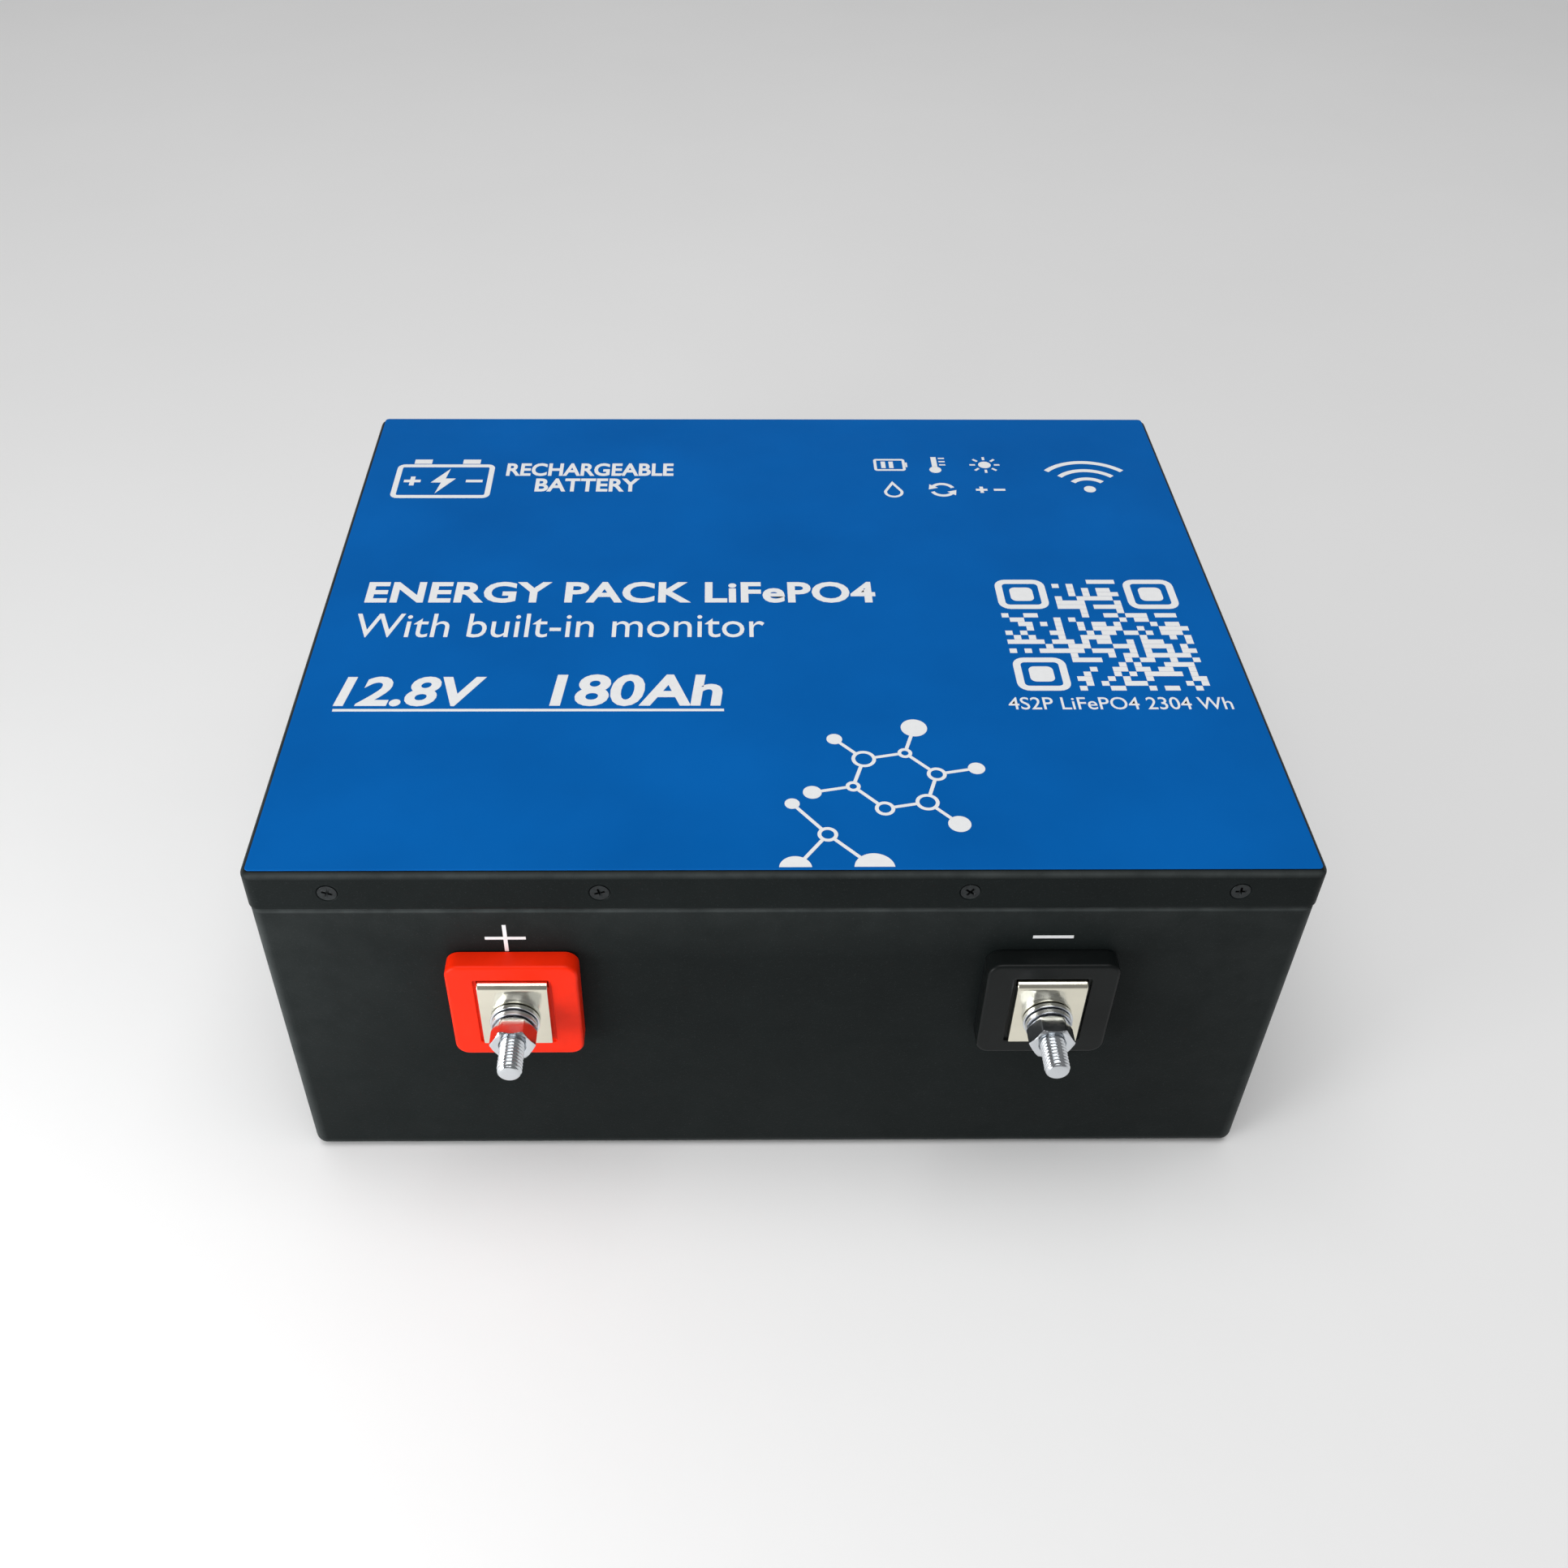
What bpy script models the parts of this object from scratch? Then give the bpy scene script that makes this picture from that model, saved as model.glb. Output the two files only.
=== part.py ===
"""A 12.8 V LiFePO4 battery pack: eight prismatic cells in a screwed steel case with two M8 stud terminals.

Metres, +Z up. The origin is the middle of the case's underside, +X runs along the long side, and the
terminals are on the front wall, which faces -Y. Run it with blender --background --python part.py.
"""

import math

import bmesh
import bpy
from mathutils import Matrix, Vector

# --- Steel case -------------------------------------------------------------------------------------
CASE_WIDTH = 0.330  # over the lid, along X
CASE_DEPTH = 0.278  # over the lid, along Y
CASE_HEIGHT = 0.139  # underside to the lid's top
SHEET = 0.0012  # steel of the tub and the lid
CORNER_RADIUS = 0.004  # upright corners, outside
BASE_RADIUS = 0.0035  # lower edges of the tub
LID_RADIUS = 0.002  # upper edges of the lid
LID_FLANGE = 0.0146  # how far the lid's sides reach down
LID_PROUD = 0.0003  # how far the lid stands out past the tub's walls
JOGGLE_RISE = 0.0006  # height over which the tub's walls step in to go under the lid
FIT = 0.0003  # gap between pieces that touch

# --- Label on the lid -------------------------------------------------------------------------------
LABEL_MARGIN = 0.0018  # lid's edge to the label's edge
LABEL_FILM = 0.00025  # thickness

# --- Lid screws, M3 countersunk ---------------------------------------------------------------------
SCREW_HEAD_RADIUS = 0.0030
SCREW_SHANK_RADIUS = 0.00145
SCREW_LENGTH = 0.0060
SCREW_RECESS = 0.0009  # depth of the cross recess
SCREW_RECESS_SPAN = 0.0032  # across the cross
SCREW_RECESS_SLOT = 0.0007
SCREW_DROP = 0.0076  # lid's top to the screws' axes
SCREW_END_MARGIN = 0.0258  # case's side to the outer screws of a long wall
SCREW_PITCH = 0.0827  # outer screw to the next one on a long wall
SIDE_SCREW_MARGIN = 0.055  # case's front or back to the screws of a short wall

# --- Terminals --------------------------------------------------------------------------------------
TERMINAL_INSET = 0.0795  # case's side to the stud's axis
TERMINAL_DROP = 0.057  # lid's top to the stud's axis
INSULATOR_WIDTH = 0.042
INSULATOR_HEIGHT = 0.0426
INSULATOR_RISE = 0.0018  # insulator's middle above the stud's axis
INSULATOR_PROUD = 0.0070  # in front of the lid's face
INSULATOR_RADIUS = 0.0045
INSULATOR_EDGE = 0.0011  # soft edge round its front
SPIGOT_WIDTH = 0.031  # the insulator's part that goes through the wall
SPIGOT_HEIGHT = 0.034
SPIGOT_DEPTH = 0.0092  # behind the case's front plane
SPIGOT_RADIUS = 0.002
SEAT_DEPTH = 0.0008  # shallow seat in the insulator for the busbar
SEAT_MARGIN = 0.0012
BUSBAR_WIDTH = 0.0223
BUSBAR_THICKNESS = 0.0020
BUSBAR_BELOW = 0.0122  # stud's axis to the busbar's lower end
BUSBAR_ABOVE = 0.0158  # stud's axis to the busbar's top
BUSBAR_BEND = 0.0026  # outer radius of its bend
BEND_STEPS = 6
BUSBAR_INSIDE = 0.020  # its length behind the insulator
STUD_RADIUS = 0.0040  # M8
STUD_TIP = 0.0305  # end of the stud in front of the lid's face
STUD_TIP_CHAMFER = 0.0016
BOLT_HEAD_FLATS = 0.013
BOLT_HEAD_HEIGHT = 0.0053
FLAT_WASHER_RADIUS = 0.0080
FLAT_WASHER_THICKNESS = 0.0016
SPRING_WASHER_RADIUS = 0.0074
SPRING_WASHER_THICKNESS = 0.0020
SPRING_WASHER_SPLIT = 0.0012
NUT_FLATS = 0.013
NUT_HEIGHT = 0.0065
NUT_CHAMFER = 0.0006  # height over which its corners are turned off

# --- Cells, pads and straps -------------------------------------------------------------------------
CELL_GROUPS = 4  # in series
CELLS_PER_GROUP = 2  # in parallel
CELL_RADIUS = 0.0015
POST_RADIUS = 0.007
POST_HEIGHT = 0.003
POST_PITCH = 0.0665  # between a cell's two posts
VENT_RADIUS = 0.006
VENT_DEPTH = 0.0005
SEPARATOR = 0.0010  # board between two groups
FRONT_BAY = 0.0675  # tub's front wall to the cells
BACK_PAD = 0.0040
SIDE_PAD = 0.0110
BOTTOM_PAD = 0.0020
TOP_PAD = 0.0015
STRAP_THICKNESS = 0.0005
STRAP_WIDTH = 0.016
STRAP_INSET = 0.045  # cells' front or back face to the middle of the strap
LINK_THICKNESS = 0.0020  # busbars welded to the cells
LINK_WIDTH = 0.018
LINK_END = 0.010  # last post's axis to the link's end
LINK_HOLE_RADIUS = 0.0025
LINK_CORNER_RADIUS = 0.002

# --- Battery management board and wiring ------------------------------------------------------------
BOARD_SHEET = 0.0020  # insulating board that carries the electronics
BOARD_GAP = 0.0030  # welded busbars to that board
BOARD_MARGIN = 0.012  # how far it reaches past the circuit board on each side
BOSS_RADIUS = 0.003
BOSS_HEIGHT = 0.003
BMS_SIDE_GAP = 0.0095  # insulator to the circuit board, along X
BMS_SHEET = 0.0016
BMS_FOOT = 0.027  # case's underside to the circuit board
BMS_HEAD = 0.021  # circuit board to the lid's top
MOSFET_HEIGHT = 0.005
MOSFET_BAND = 0.012
MOSFET_INSET = 0.003  # heatsink's side to the ends of the transistor rows
PAD_WIDTH = 0.014
PAD_HEIGHT = 0.004
HEATSINK_BASE = 0.003
HEATSINK_FIN = 0.0016
HEATSINK_FINS = 9
HEATSINK_DEPTH = 0.013
HEATSINK_END_MARGIN = 0.016  # circuit board's lower and upper edges to the heatsink
PLUG_WIDTH = 0.018
PLUG_HEIGHT = 0.008
PLUG_DEPTH = 0.006
MODULE_WIDTH = 0.030
MODULE_HEIGHT = 0.014
MODULE_DEPTH = 0.004
MODULE_FOOT = 0.004  # mounting board's lower edge to the module
CABLE_RADIUS = 0.004
HARNESS_RADIUS = 0.0016
CABLE_STUB = 0.002  # straight piece at each end of a cable
CABLE_POINTS = 24

# --- Worked out from the values above ---------------------------------------------------------------
FACE = -CASE_DEPTH / 2  # plane of the lid's front
TUB_HALF = Vector((CASE_WIDTH / 2 - LID_PROUD, CASE_DEPTH / 2 - LID_PROUD))
JOGGLE = SHEET + FIT - LID_PROUD
INNER_HALF = Vector((TUB_HALF.x - JOGGLE - SHEET, TUB_HALF.y - JOGGLE - SHEET))
SHOULDER_Z = CASE_HEIGHT - LID_FLANGE - FIT - JOGGLE_RISE
RIM_Z = CASE_HEIGHT - LID_RADIUS - FIT  # under the lid's inner fillet
SCREW_Z = CASE_HEIGHT - SCREW_DROP
TERMINAL_X = CASE_WIDTH / 2 - TERMINAL_INSET
STUD_Z = CASE_HEIGHT - TERMINAL_DROP
STUD_BORE = STUD_RADIUS + FIT
INSULATOR_Z = STUD_Z + INSULATOR_RISE
SEAT_Y = FACE - INSULATOR_PROUD + SEAT_DEPTH
PLATE_Y = SEAT_Y - FIT  # back of the busbar's plate
FLAT_WASHER_Y = PLATE_Y - BUSBAR_THICKNESS - FIT
SPRING_WASHER_Y = FLAT_WASHER_Y - FLAT_WASHER_THICKNESS - FIT
NUT_Y = SPRING_WASHER_Y - SPRING_WASHER_THICKNESS - FIT
SPIGOT_Y = FACE + SPIGOT_DEPTH
STRAP_LAYER = STRAP_THICKNESS + 2 * FIT
PAD_LOW = SHEET + FIT
CELL_LOW = PAD_LOW + BOTTOM_PAD + STRAP_LAYER
CELL_HIGH = CASE_HEIGHT - SHEET - FIT - TOP_PAD - STRAP_LAYER
CELL_MIDDLE = (CELL_LOW + CELL_HIGH) / 2
CELL_FRONT = FRONT_BAY - INNER_HALF.y
CELL_BACK = INNER_HALF.y - FIT - BACK_PAD - FIT
CELL_HALF = INNER_HALF.x - FIT - SIDE_PAD - STRAP_LAYER
GROUP_GAP = SEPARATOR + 2 * FIT
PAIR_GAP = FIT
GAPS = (CELL_GROUPS - 1) * GROUP_GAP + CELL_GROUPS * (CELLS_PER_GROUP - 1) * PAIR_GAP
CELL_THICKNESS = (2 * CELL_HALF - GAPS) / (CELL_GROUPS * CELLS_PER_GROUP)
GROUP_WIDTH = CELLS_PER_GROUP * CELL_THICKNESS + (CELLS_PER_GROUP - 1) * PAIR_GAP
LINK_BACK = CELL_FRONT - POST_HEIGHT - FIT
LINK_FRONT = LINK_BACK - LINK_THICKNESS
POST_ROWS = (CELL_MIDDLE - POST_PITCH / 2, CELL_MIDDLE + POST_PITCH / 2)
BOARD_BACK = LINK_FRONT - BOARD_GAP
BMS_BACK = BOARD_BACK - BOARD_SHEET - BOSS_HEIGHT - FIT
BMS_FRONT = BMS_BACK - BMS_SHEET
BMS_HALF = TERMINAL_X - INSULATOR_WIDTH / 2 - BMS_SIDE_GAP
BMS_LOW = BMS_FOOT
BMS_HIGH = CASE_HEIGHT - BMS_HEAD

FINISHES = {
    "black_powder_coat": ((0.032, 0.036, 0.036), 0.0, 0.55),
    "blue_film": ((0.0, 0.117, 0.434), 0.0, 0.35),
    "black_oxide": ((0.02, 0.02, 0.022), 0.8, 0.45),
    "red_plastic": ((0.91, 0.026, 0.007), 0.0, 0.4),
    "black_plastic": ((0.018, 0.019, 0.02), 0.0, 0.4),
    "nickel_plate": ((0.66, 0.64, 0.56), 1.0, 0.25),
    "zinc_plate": ((0.68, 0.7, 0.72), 1.0, 0.22),
    "spring_steel": ((0.55, 0.57, 0.6), 1.0, 0.3),
    "cell_wrap": ((0.02, 0.07, 0.2), 0.0, 0.35),
    "copper": ((0.75, 0.36, 0.22), 1.0, 0.3),
    "fibre_board": ((0.35, 0.5, 0.2), 0.0, 0.6),
    "circuit_board": ((0.01, 0.13, 0.05), 0.0, 0.45),
    "aluminium": ((0.72, 0.73, 0.74), 1.0, 0.4),
    "white_nylon": ((0.8, 0.8, 0.76), 0.0, 0.5),
    "red_silicone": ((0.6, 0.02, 0.02), 0.0, 0.6),
    "black_silicone": ((0.02, 0.02, 0.02), 0.0, 0.6),
    "foam": ((0.03, 0.03, 0.03), 0.0, 0.9),
    "strap_band": ((0.05, 0.05, 0.05), 0.0, 0.5),
}


# --- Scene helpers ----------------------------------------------------------------------------------
def clear_scene():
    for obj in list(bpy.data.objects):
        bpy.data.objects.remove(obj, do_unlink=True)


def new_collection(name):
    made = bpy.data.collections.new(name)
    bpy.context.scene.collection.children.link(made)
    return made


def finish(name):
    """The Principled material of this name, made the first time that it is asked for."""
    if name in bpy.data.materials:
        return bpy.data.materials[name]
    colour, metallic, roughness = FINISHES[name]
    made = bpy.data.materials.new(name)
    made.use_nodes = True
    shader = made.node_tree.nodes["Principled BSDF"]
    shader.inputs["Base Color"].default_value = (*colour, 1.0)
    shader.inputs["Metallic"].default_value = metallic
    shader.inputs["Roughness"].default_value = roughness
    made.diffuse_color = (*colour, 1.0)
    return made


def add_object(name, data, finish_name=None, place=None):
    """An object for a part, or a hidden cutter where it has no finish."""
    obj = bpy.data.objects.new(name, data)
    obj.matrix_world = place or Matrix.Identity(4)
    if finish_name:
        if not data.materials:
            data.materials.append(finish(finish_name))
        PARTS.objects.link(obj)
    else:
        CUTTERS.objects.link(obj)
        obj.hide_render = True
        obj.display_type = "WIRE"
    return obj


def mesh_from(name, bm):
    bmesh.ops.recalc_face_normals(bm, faces=bm.faces)
    mesh = bpy.data.meshes.new(name)
    bm.to_mesh(mesh)
    bm.free()
    return mesh


def baked(obj, smooth=True):
    """The object's mesh with its modifiers applied; the object itself is removed."""
    bpy.context.view_layer.update()
    graph = bpy.context.evaluated_depsgraph_get()
    mesh = bpy.data.meshes.new_from_object(obj.evaluated_get(graph))
    if smooth:
        mesh.shade_smooth()
        mesh.set_sharp_from_angle(angle=math.radians(35))
    bpy.data.objects.remove(obj, do_unlink=True)
    return mesh


def combine(target, other, operation="DIFFERENCE"):
    modifier = target.modifiers.new(operation.title(), "BOOLEAN")
    modifier.operation = operation
    modifier.object = other
    modifier.solver = "EXACT"


# --- Shapes -----------------------------------------------------------------------------------------
def add_box(bm, low, high):
    """A box between two corners; returns its vertices."""
    low, high = Vector(low), Vector(high)
    place = Matrix.Translation((low + high) / 2) @ Matrix.Diagonal((*(high - low), 1.0))
    return bmesh.ops.create_cube(bm, size=1.0, matrix=place)["verts"]


def add_cylinder(bm, radius, start, end, tip_radius=None, sides=24):
    """A cylinder or a cone frustum between two points."""
    start, end = Vector(start), Vector(end)
    axis = end - start
    turn = axis.to_track_quat("Z", "Y").to_matrix().to_4x4()
    bmesh.ops.create_cone(
        bm,
        cap_ends=True,
        segments=sides,
        radius1=radius,
        radius2=radius if tip_radius is None else tip_radius,
        depth=axis.length,
        matrix=Matrix.Translation((start + end) / 2) @ turn,
    )


def edges_along(bm, axis, verts=None):
    """The straight edges that run along one axis."""
    found = []
    for edge in bm.edges:
        if verts is not None and not all(v in verts for v in edge.verts):
            continue
        direction = (edge.verts[1].co - edge.verts[0].co).normalized()
        if abs(direction[axis]) > 0.999:
            found.append(edge)
    return found


def round_edges(bm, edges, radius, segments):
    bmesh.ops.bevel(
        bm,
        geom=edges,
        offset=radius,
        offset_type="OFFSET",
        segments=segments,
        profile=0.5,
        affect="EDGES",
    )


def rim_edges(bm, axis, level):
    """The edges that lie in the plane at this level along one axis."""
    return [e for e in bm.edges if all(abs(v.co[axis] - level) < 1e-6 for v in e.verts)]


def rounded_slab(bm, low, high, axis, radius, segments=4):
    """A box whose four edges along one axis are rounded."""
    verts = set(add_box(bm, low, high))
    round_edges(bm, edges_along(bm, axis, verts), radius, segments)


def slab_part(name, low, high, finish_name, radius=0.0, axis=2, place=None):
    bm = bmesh.new()
    if radius:
        rounded_slab(bm, low, high, axis, radius)
    else:
        add_box(bm, low, high)
    return add_object(name, mesh_from(name, bm), finish_name, place)


def hexagon_radius(flats):
    return flats / math.sqrt(3)


def turned(name, profile, steps=24):
    """A profile of (radius, height) points, listed from the top down, turned round Z."""
    bm = bmesh.new()
    points = [bm.verts.new((radius, 0.0, height)) for radius, height in profile]
    for first, second in zip(points, points[1:]):
        bm.edges.new((first, second))
    mesh = bpy.data.meshes.new(name)
    bm.to_mesh(mesh)
    bm.free()
    obj = add_object(name, mesh)
    screw = obj.modifiers.new("Turn", "SCREW")
    screw.steps = steps
    screw.render_steps = steps
    screw.use_merge_vertices = True
    screw.merge_threshold = 0.00001
    return obj


def tube(name, points, radius, finish_name):
    """A cable along a list of points, with closed ends."""
    curve = bpy.data.curves.new(name, "CURVE")
    curve.dimensions = "3D"
    curve.bevel_depth = radius
    curve.bevel_resolution = 2
    curve.use_fill_caps = True
    spline = curve.splines.new("POLY")
    spline.points.add(len(points) - 1)
    for spot, point in zip(spline.points, points):
        spot.co = (*point, 1.0)
    return add_object(name, curve, finish_name)


def eased_run(start, leave, end, arrive):
    """A cable's points: a short straight piece at each end and a cubic curve between them.

    The vectors leave and arrive give the direction at each end, and how far it holds.
    """
    start, leave, end, arrive = (Vector(v) for v in (start, leave, end, arrive))
    a = start + leave.normalized() * CABLE_STUB
    d = end - arrive.normalized() * CABLE_STUB
    b, c = a + leave, d - arrive
    curve = []
    for i in range(CABLE_POINTS):
        t = i / (CABLE_POINTS - 1)
        u = 1.0 - t
        curve.append(u**3 * a + 3 * u * u * t * b + 3 * u * t * t * c + t**3 * d)
    return [start, *curve, end]


# --- Case -------------------------------------------------------------------------------------------
def solidified(obj):
    shell = obj.modifiers.new("Sheet", "SOLIDIFY")
    shell.thickness = SHEET
    shell.offset = -1.0
    shell.use_even_offset = True


def screw_places():
    """Name and placing of each lid screw, whose local +Z points out of the wall."""
    outer_x = CASE_WIDTH / 2 - SCREW_END_MARGIN
    side_y = CASE_DEPTH / 2 - SIDE_SCREW_MARGIN
    long_wall = (-outer_x, SCREW_PITCH - outer_x, outer_x - SCREW_PITCH, outer_x)
    walls = {
        "front": [((x, FACE, SCREW_Z), (0, -1, 0)) for x in long_wall],
        "back": [((x, -FACE, SCREW_Z), (0, 1, 0)) for x in long_wall],
        "left": [((-CASE_WIDTH / 2, y, SCREW_Z), (-1, 0, 0)) for y in (-side_y, side_y)],
        "right": [((CASE_WIDTH / 2, y, SCREW_Z), (1, 0, 0)) for y in (-side_y, side_y)],
    }
    for wall, spots in walls.items():
        for number, (spot, out) in enumerate(spots, 1):
            turn = Vector(out).to_track_quat("Z", "Y").to_matrix().to_4x4()
            yield f"lid_screw_{wall}_{number}", Matrix.Translation(spot) @ turn


def screw_hole_cutter(name, countersunk):
    """All screw holes as one cutter: plain holes, or holes with a countersink from the outer face."""
    bm = bmesh.new()
    for _, place in screw_places():
        out = place.to_3x3() @ Vector((0, 0, 1))
        spot = place.translation
        if countersunk:
            head = SCREW_HEAD_RADIUS + FIT
            neck = SCREW_SHANK_RADIUS + FIT
            add_cylinder(bm, head, spot + out * FIT, spot - out * (SHEET + FIT), neck)
        else:
            hole = SCREW_SHANK_RADIUS + FIT
            add_cylinder(bm, hole, spot - out * SHEET, spot - out * (3 * SHEET + 2 * FIT), sides=16)
    return add_object(name, mesh_from(name, bm))


def case_tub():
    """One folded tub whose walls step in near the top to go under the lid."""
    bm = bmesh.new()
    add_box(bm, (-TUB_HALF.x, -TUB_HALF.y, 0), (TUB_HALF.x, TUB_HALF.y, SHOULDER_Z))
    round_edges(bm, edges_along(bm, 2), CORNER_RADIUS, 4)
    round_edges(bm, rim_edges(bm, 2, 0.0), BASE_RADIUS, 4)
    top = [f for f in bm.faces if all(abs(v.co.z - SHOULDER_Z) < 1e-6 for v in f.verts)]
    bmesh.ops.delete(bm, geom=top, context="FACES_ONLY")
    centre = Vector((TUB_HALF.x - CORNER_RADIUS, TUB_HALF.y - CORNER_RADIUS))
    rim = rim_edges(bm, 2, SHOULDER_Z)
    for level, step in ((SHOULDER_Z + JOGGLE_RISE, JOGGLE), (RIM_Z, 0.0)):
        grown = bmesh.ops.extrude_edge_only(bm, edges=rim)["geom"]
        rim = [item for item in grown if isinstance(item, bmesh.types.BMEdge)]
        for vert in (item for item in grown if isinstance(item, bmesh.types.BMVert)):
            corner = Vector((math.copysign(centre.x, vert.co.x), math.copysign(centre.y, vert.co.y)))
            way = (vert.co.xy - corner).normalized()
            vert.co = (vert.co.x - way.x * step, vert.co.y - way.y * step, level)
    obj = add_object("case_tub", mesh_from("case_tub", bm), "black_powder_coat")
    solidified(obj)
    combine(obj, screw_hole_cutter("tub_screw_holes", countersunk=False))
    windows = bmesh.new()
    half_width = SPIGOT_WIDTH / 2 + FIT
    half_height = SPIGOT_HEIGHT / 2 + FIT
    for x in (-TERMINAL_X, TERMINAL_X):
        rounded_slab(
            windows,
            (x - half_width, FACE - SHEET, INSULATOR_Z - half_height),
            (x + half_width, FACE + 3 * SHEET, INSULATOR_Z + half_height),
            1,
            SPIGOT_RADIUS + FIT,
        )
    combine(obj, add_object("tub_windows", mesh_from("tub_windows", windows)))


def case_lid():
    """A folded lid with a flange all round and countersunk screw holes."""
    half = Vector((CASE_WIDTH / 2, CASE_DEPTH / 2))
    low = CASE_HEIGHT - LID_FLANGE
    bm = bmesh.new()
    add_box(bm, (-half.x, -half.y, low), (half.x, half.y, CASE_HEIGHT))
    round_edges(bm, edges_along(bm, 2), CORNER_RADIUS, 4)
    round_edges(bm, rim_edges(bm, 2, CASE_HEIGHT), LID_RADIUS, 3)
    under = [f for f in bm.faces if all(abs(v.co.z - low) < 1e-6 for v in f.verts)]
    bmesh.ops.delete(bm, geom=under, context="FACES_ONLY")
    obj = add_object("case_lid", mesh_from("case_lid", bm), "black_powder_coat")
    solidified(obj)
    combine(obj, screw_hole_cutter("lid_screw_holes", countersunk=True))


def top_label():
    half = Vector((CASE_WIDTH / 2 - LABEL_MARGIN, CASE_DEPTH / 2 - LABEL_MARGIN))
    low = CASE_HEIGHT + FIT
    slab_part(
        "top_label",
        (-half.x, -half.y, low),
        (half.x, half.y, low + LABEL_FILM),
        "blue_film",
        radius=CORNER_RADIUS,
    )


def lid_screws():
    """Countersunk screws with a cross recess, all from one mesh."""
    neck = SCREW_SHANK_RADIUS
    profile = [
        (0.0, 0.0),
        (SCREW_HEAD_RADIUS, 0.0),
        (neck, -SHEET),
        (neck, neck / 2 - SCREW_LENGTH),
        (neck / 2, -SCREW_LENGTH),
        (0.0, -SCREW_LENGTH),
    ]
    master = turned("lid_screw_master", profile, steps=20)
    recess = bmesh.new()
    half, slot = SCREW_RECESS_SPAN / 2, SCREW_RECESS_SLOT / 2
    add_box(recess, (-half, -slot, -SCREW_RECESS), (half, slot, FIT))
    arm = add_object("recess_arm", mesh_from("recess_arm", recess))
    across = add_object("recess_across", arm.data, place=Matrix.Rotation(math.pi / 2, 4, "Z"))
    combine(master, arm)
    combine(master, across)
    mesh = baked(master)
    for cutter in (arm, across):
        bpy.data.objects.remove(cutter, do_unlink=True)
    for name, place in screw_places():
        add_object(name, mesh, "black_oxide", place)


# --- Terminals --------------------------------------------------------------------------------------
def insulator(name, x, finish_name):
    """A moulded block whose spigot goes through the wall, with a seat, a slot and a bolt pocket."""
    bm = bmesh.new()
    half_width, half_height = INSULATOR_WIDTH / 2, INSULATOR_HEIGHT / 2
    rounded_slab(
        bm,
        (x - half_width, FACE - INSULATOR_PROUD, INSULATOR_Z - half_height),
        (x + half_width, FACE - FIT + LID_PROUD, INSULATOR_Z + half_height),
        1,
        INSULATOR_RADIUS,
        segments=6,
    )
    round_edges(bm, rim_edges(bm, 1, FACE - INSULATOR_PROUD), INSULATOR_EDGE, 3)
    obj = add_object(name, mesh_from(name, bm), finish_name)
    spigot = bmesh.new()
    rounded_slab(
        spigot,
        (x - SPIGOT_WIDTH / 2, FACE - INSULATOR_PROUD / 2, INSULATOR_Z - SPIGOT_HEIGHT / 2),
        (x + SPIGOT_WIDTH / 2, SPIGOT_Y, INSULATOR_Z + SPIGOT_HEIGHT / 2),
        1,
        SPIGOT_RADIUS,
    )
    combine(obj, add_object(name + "_spigot", mesh_from("spigot", spigot)), "UNION")
    seat = bmesh.new()
    reach = BUSBAR_WIDTH / 2 + SEAT_MARGIN
    seat_low = (x - reach, FACE - INSULATOR_PROUD - FIT, STUD_Z - BUSBAR_BELOW - SEAT_MARGIN)
    add_box(seat, seat_low, (x + reach, SEAT_Y, STUD_Z + BUSBAR_ABOVE + SEAT_MARGIN))
    combine(obj, add_object(name + "_seat", mesh_from("seat", seat)))
    slot = bmesh.new()
    reach = BUSBAR_WIDTH / 2 + FIT
    top = STUD_Z + BUSBAR_ABOVE
    slot_low = (x - reach, SEAT_Y - SEAT_DEPTH, top - BUSBAR_BEND - FIT)
    add_box(slot, slot_low, (x + reach, SPIGOT_Y + FIT, top + FIT))
    combine(obj, add_object(name + "_slot", mesh_from("slot", slot)))
    bore = bmesh.new()
    add_cylinder(bore, STUD_BORE, (x, SEAT_Y - FIT, STUD_Z), (x, SPIGOT_Y, STUD_Z))
    combine(obj, add_object(name + "_bore", mesh_from("bore", bore)))
    pocket = bmesh.new()
    head_radius = hexagon_radius(BOLT_HEAD_FLATS + 2 * FIT)
    pocket_floor = SPIGOT_Y - BOLT_HEAD_HEIGHT - 2 * FIT
    add_cylinder(pocket, head_radius, (x, pocket_floor, STUD_Z), (x, SPIGOT_Y + FIT, STUD_Z), sides=6)
    combine(obj, add_object(name + "_pocket", mesh_from("pocket", pocket)))


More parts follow.
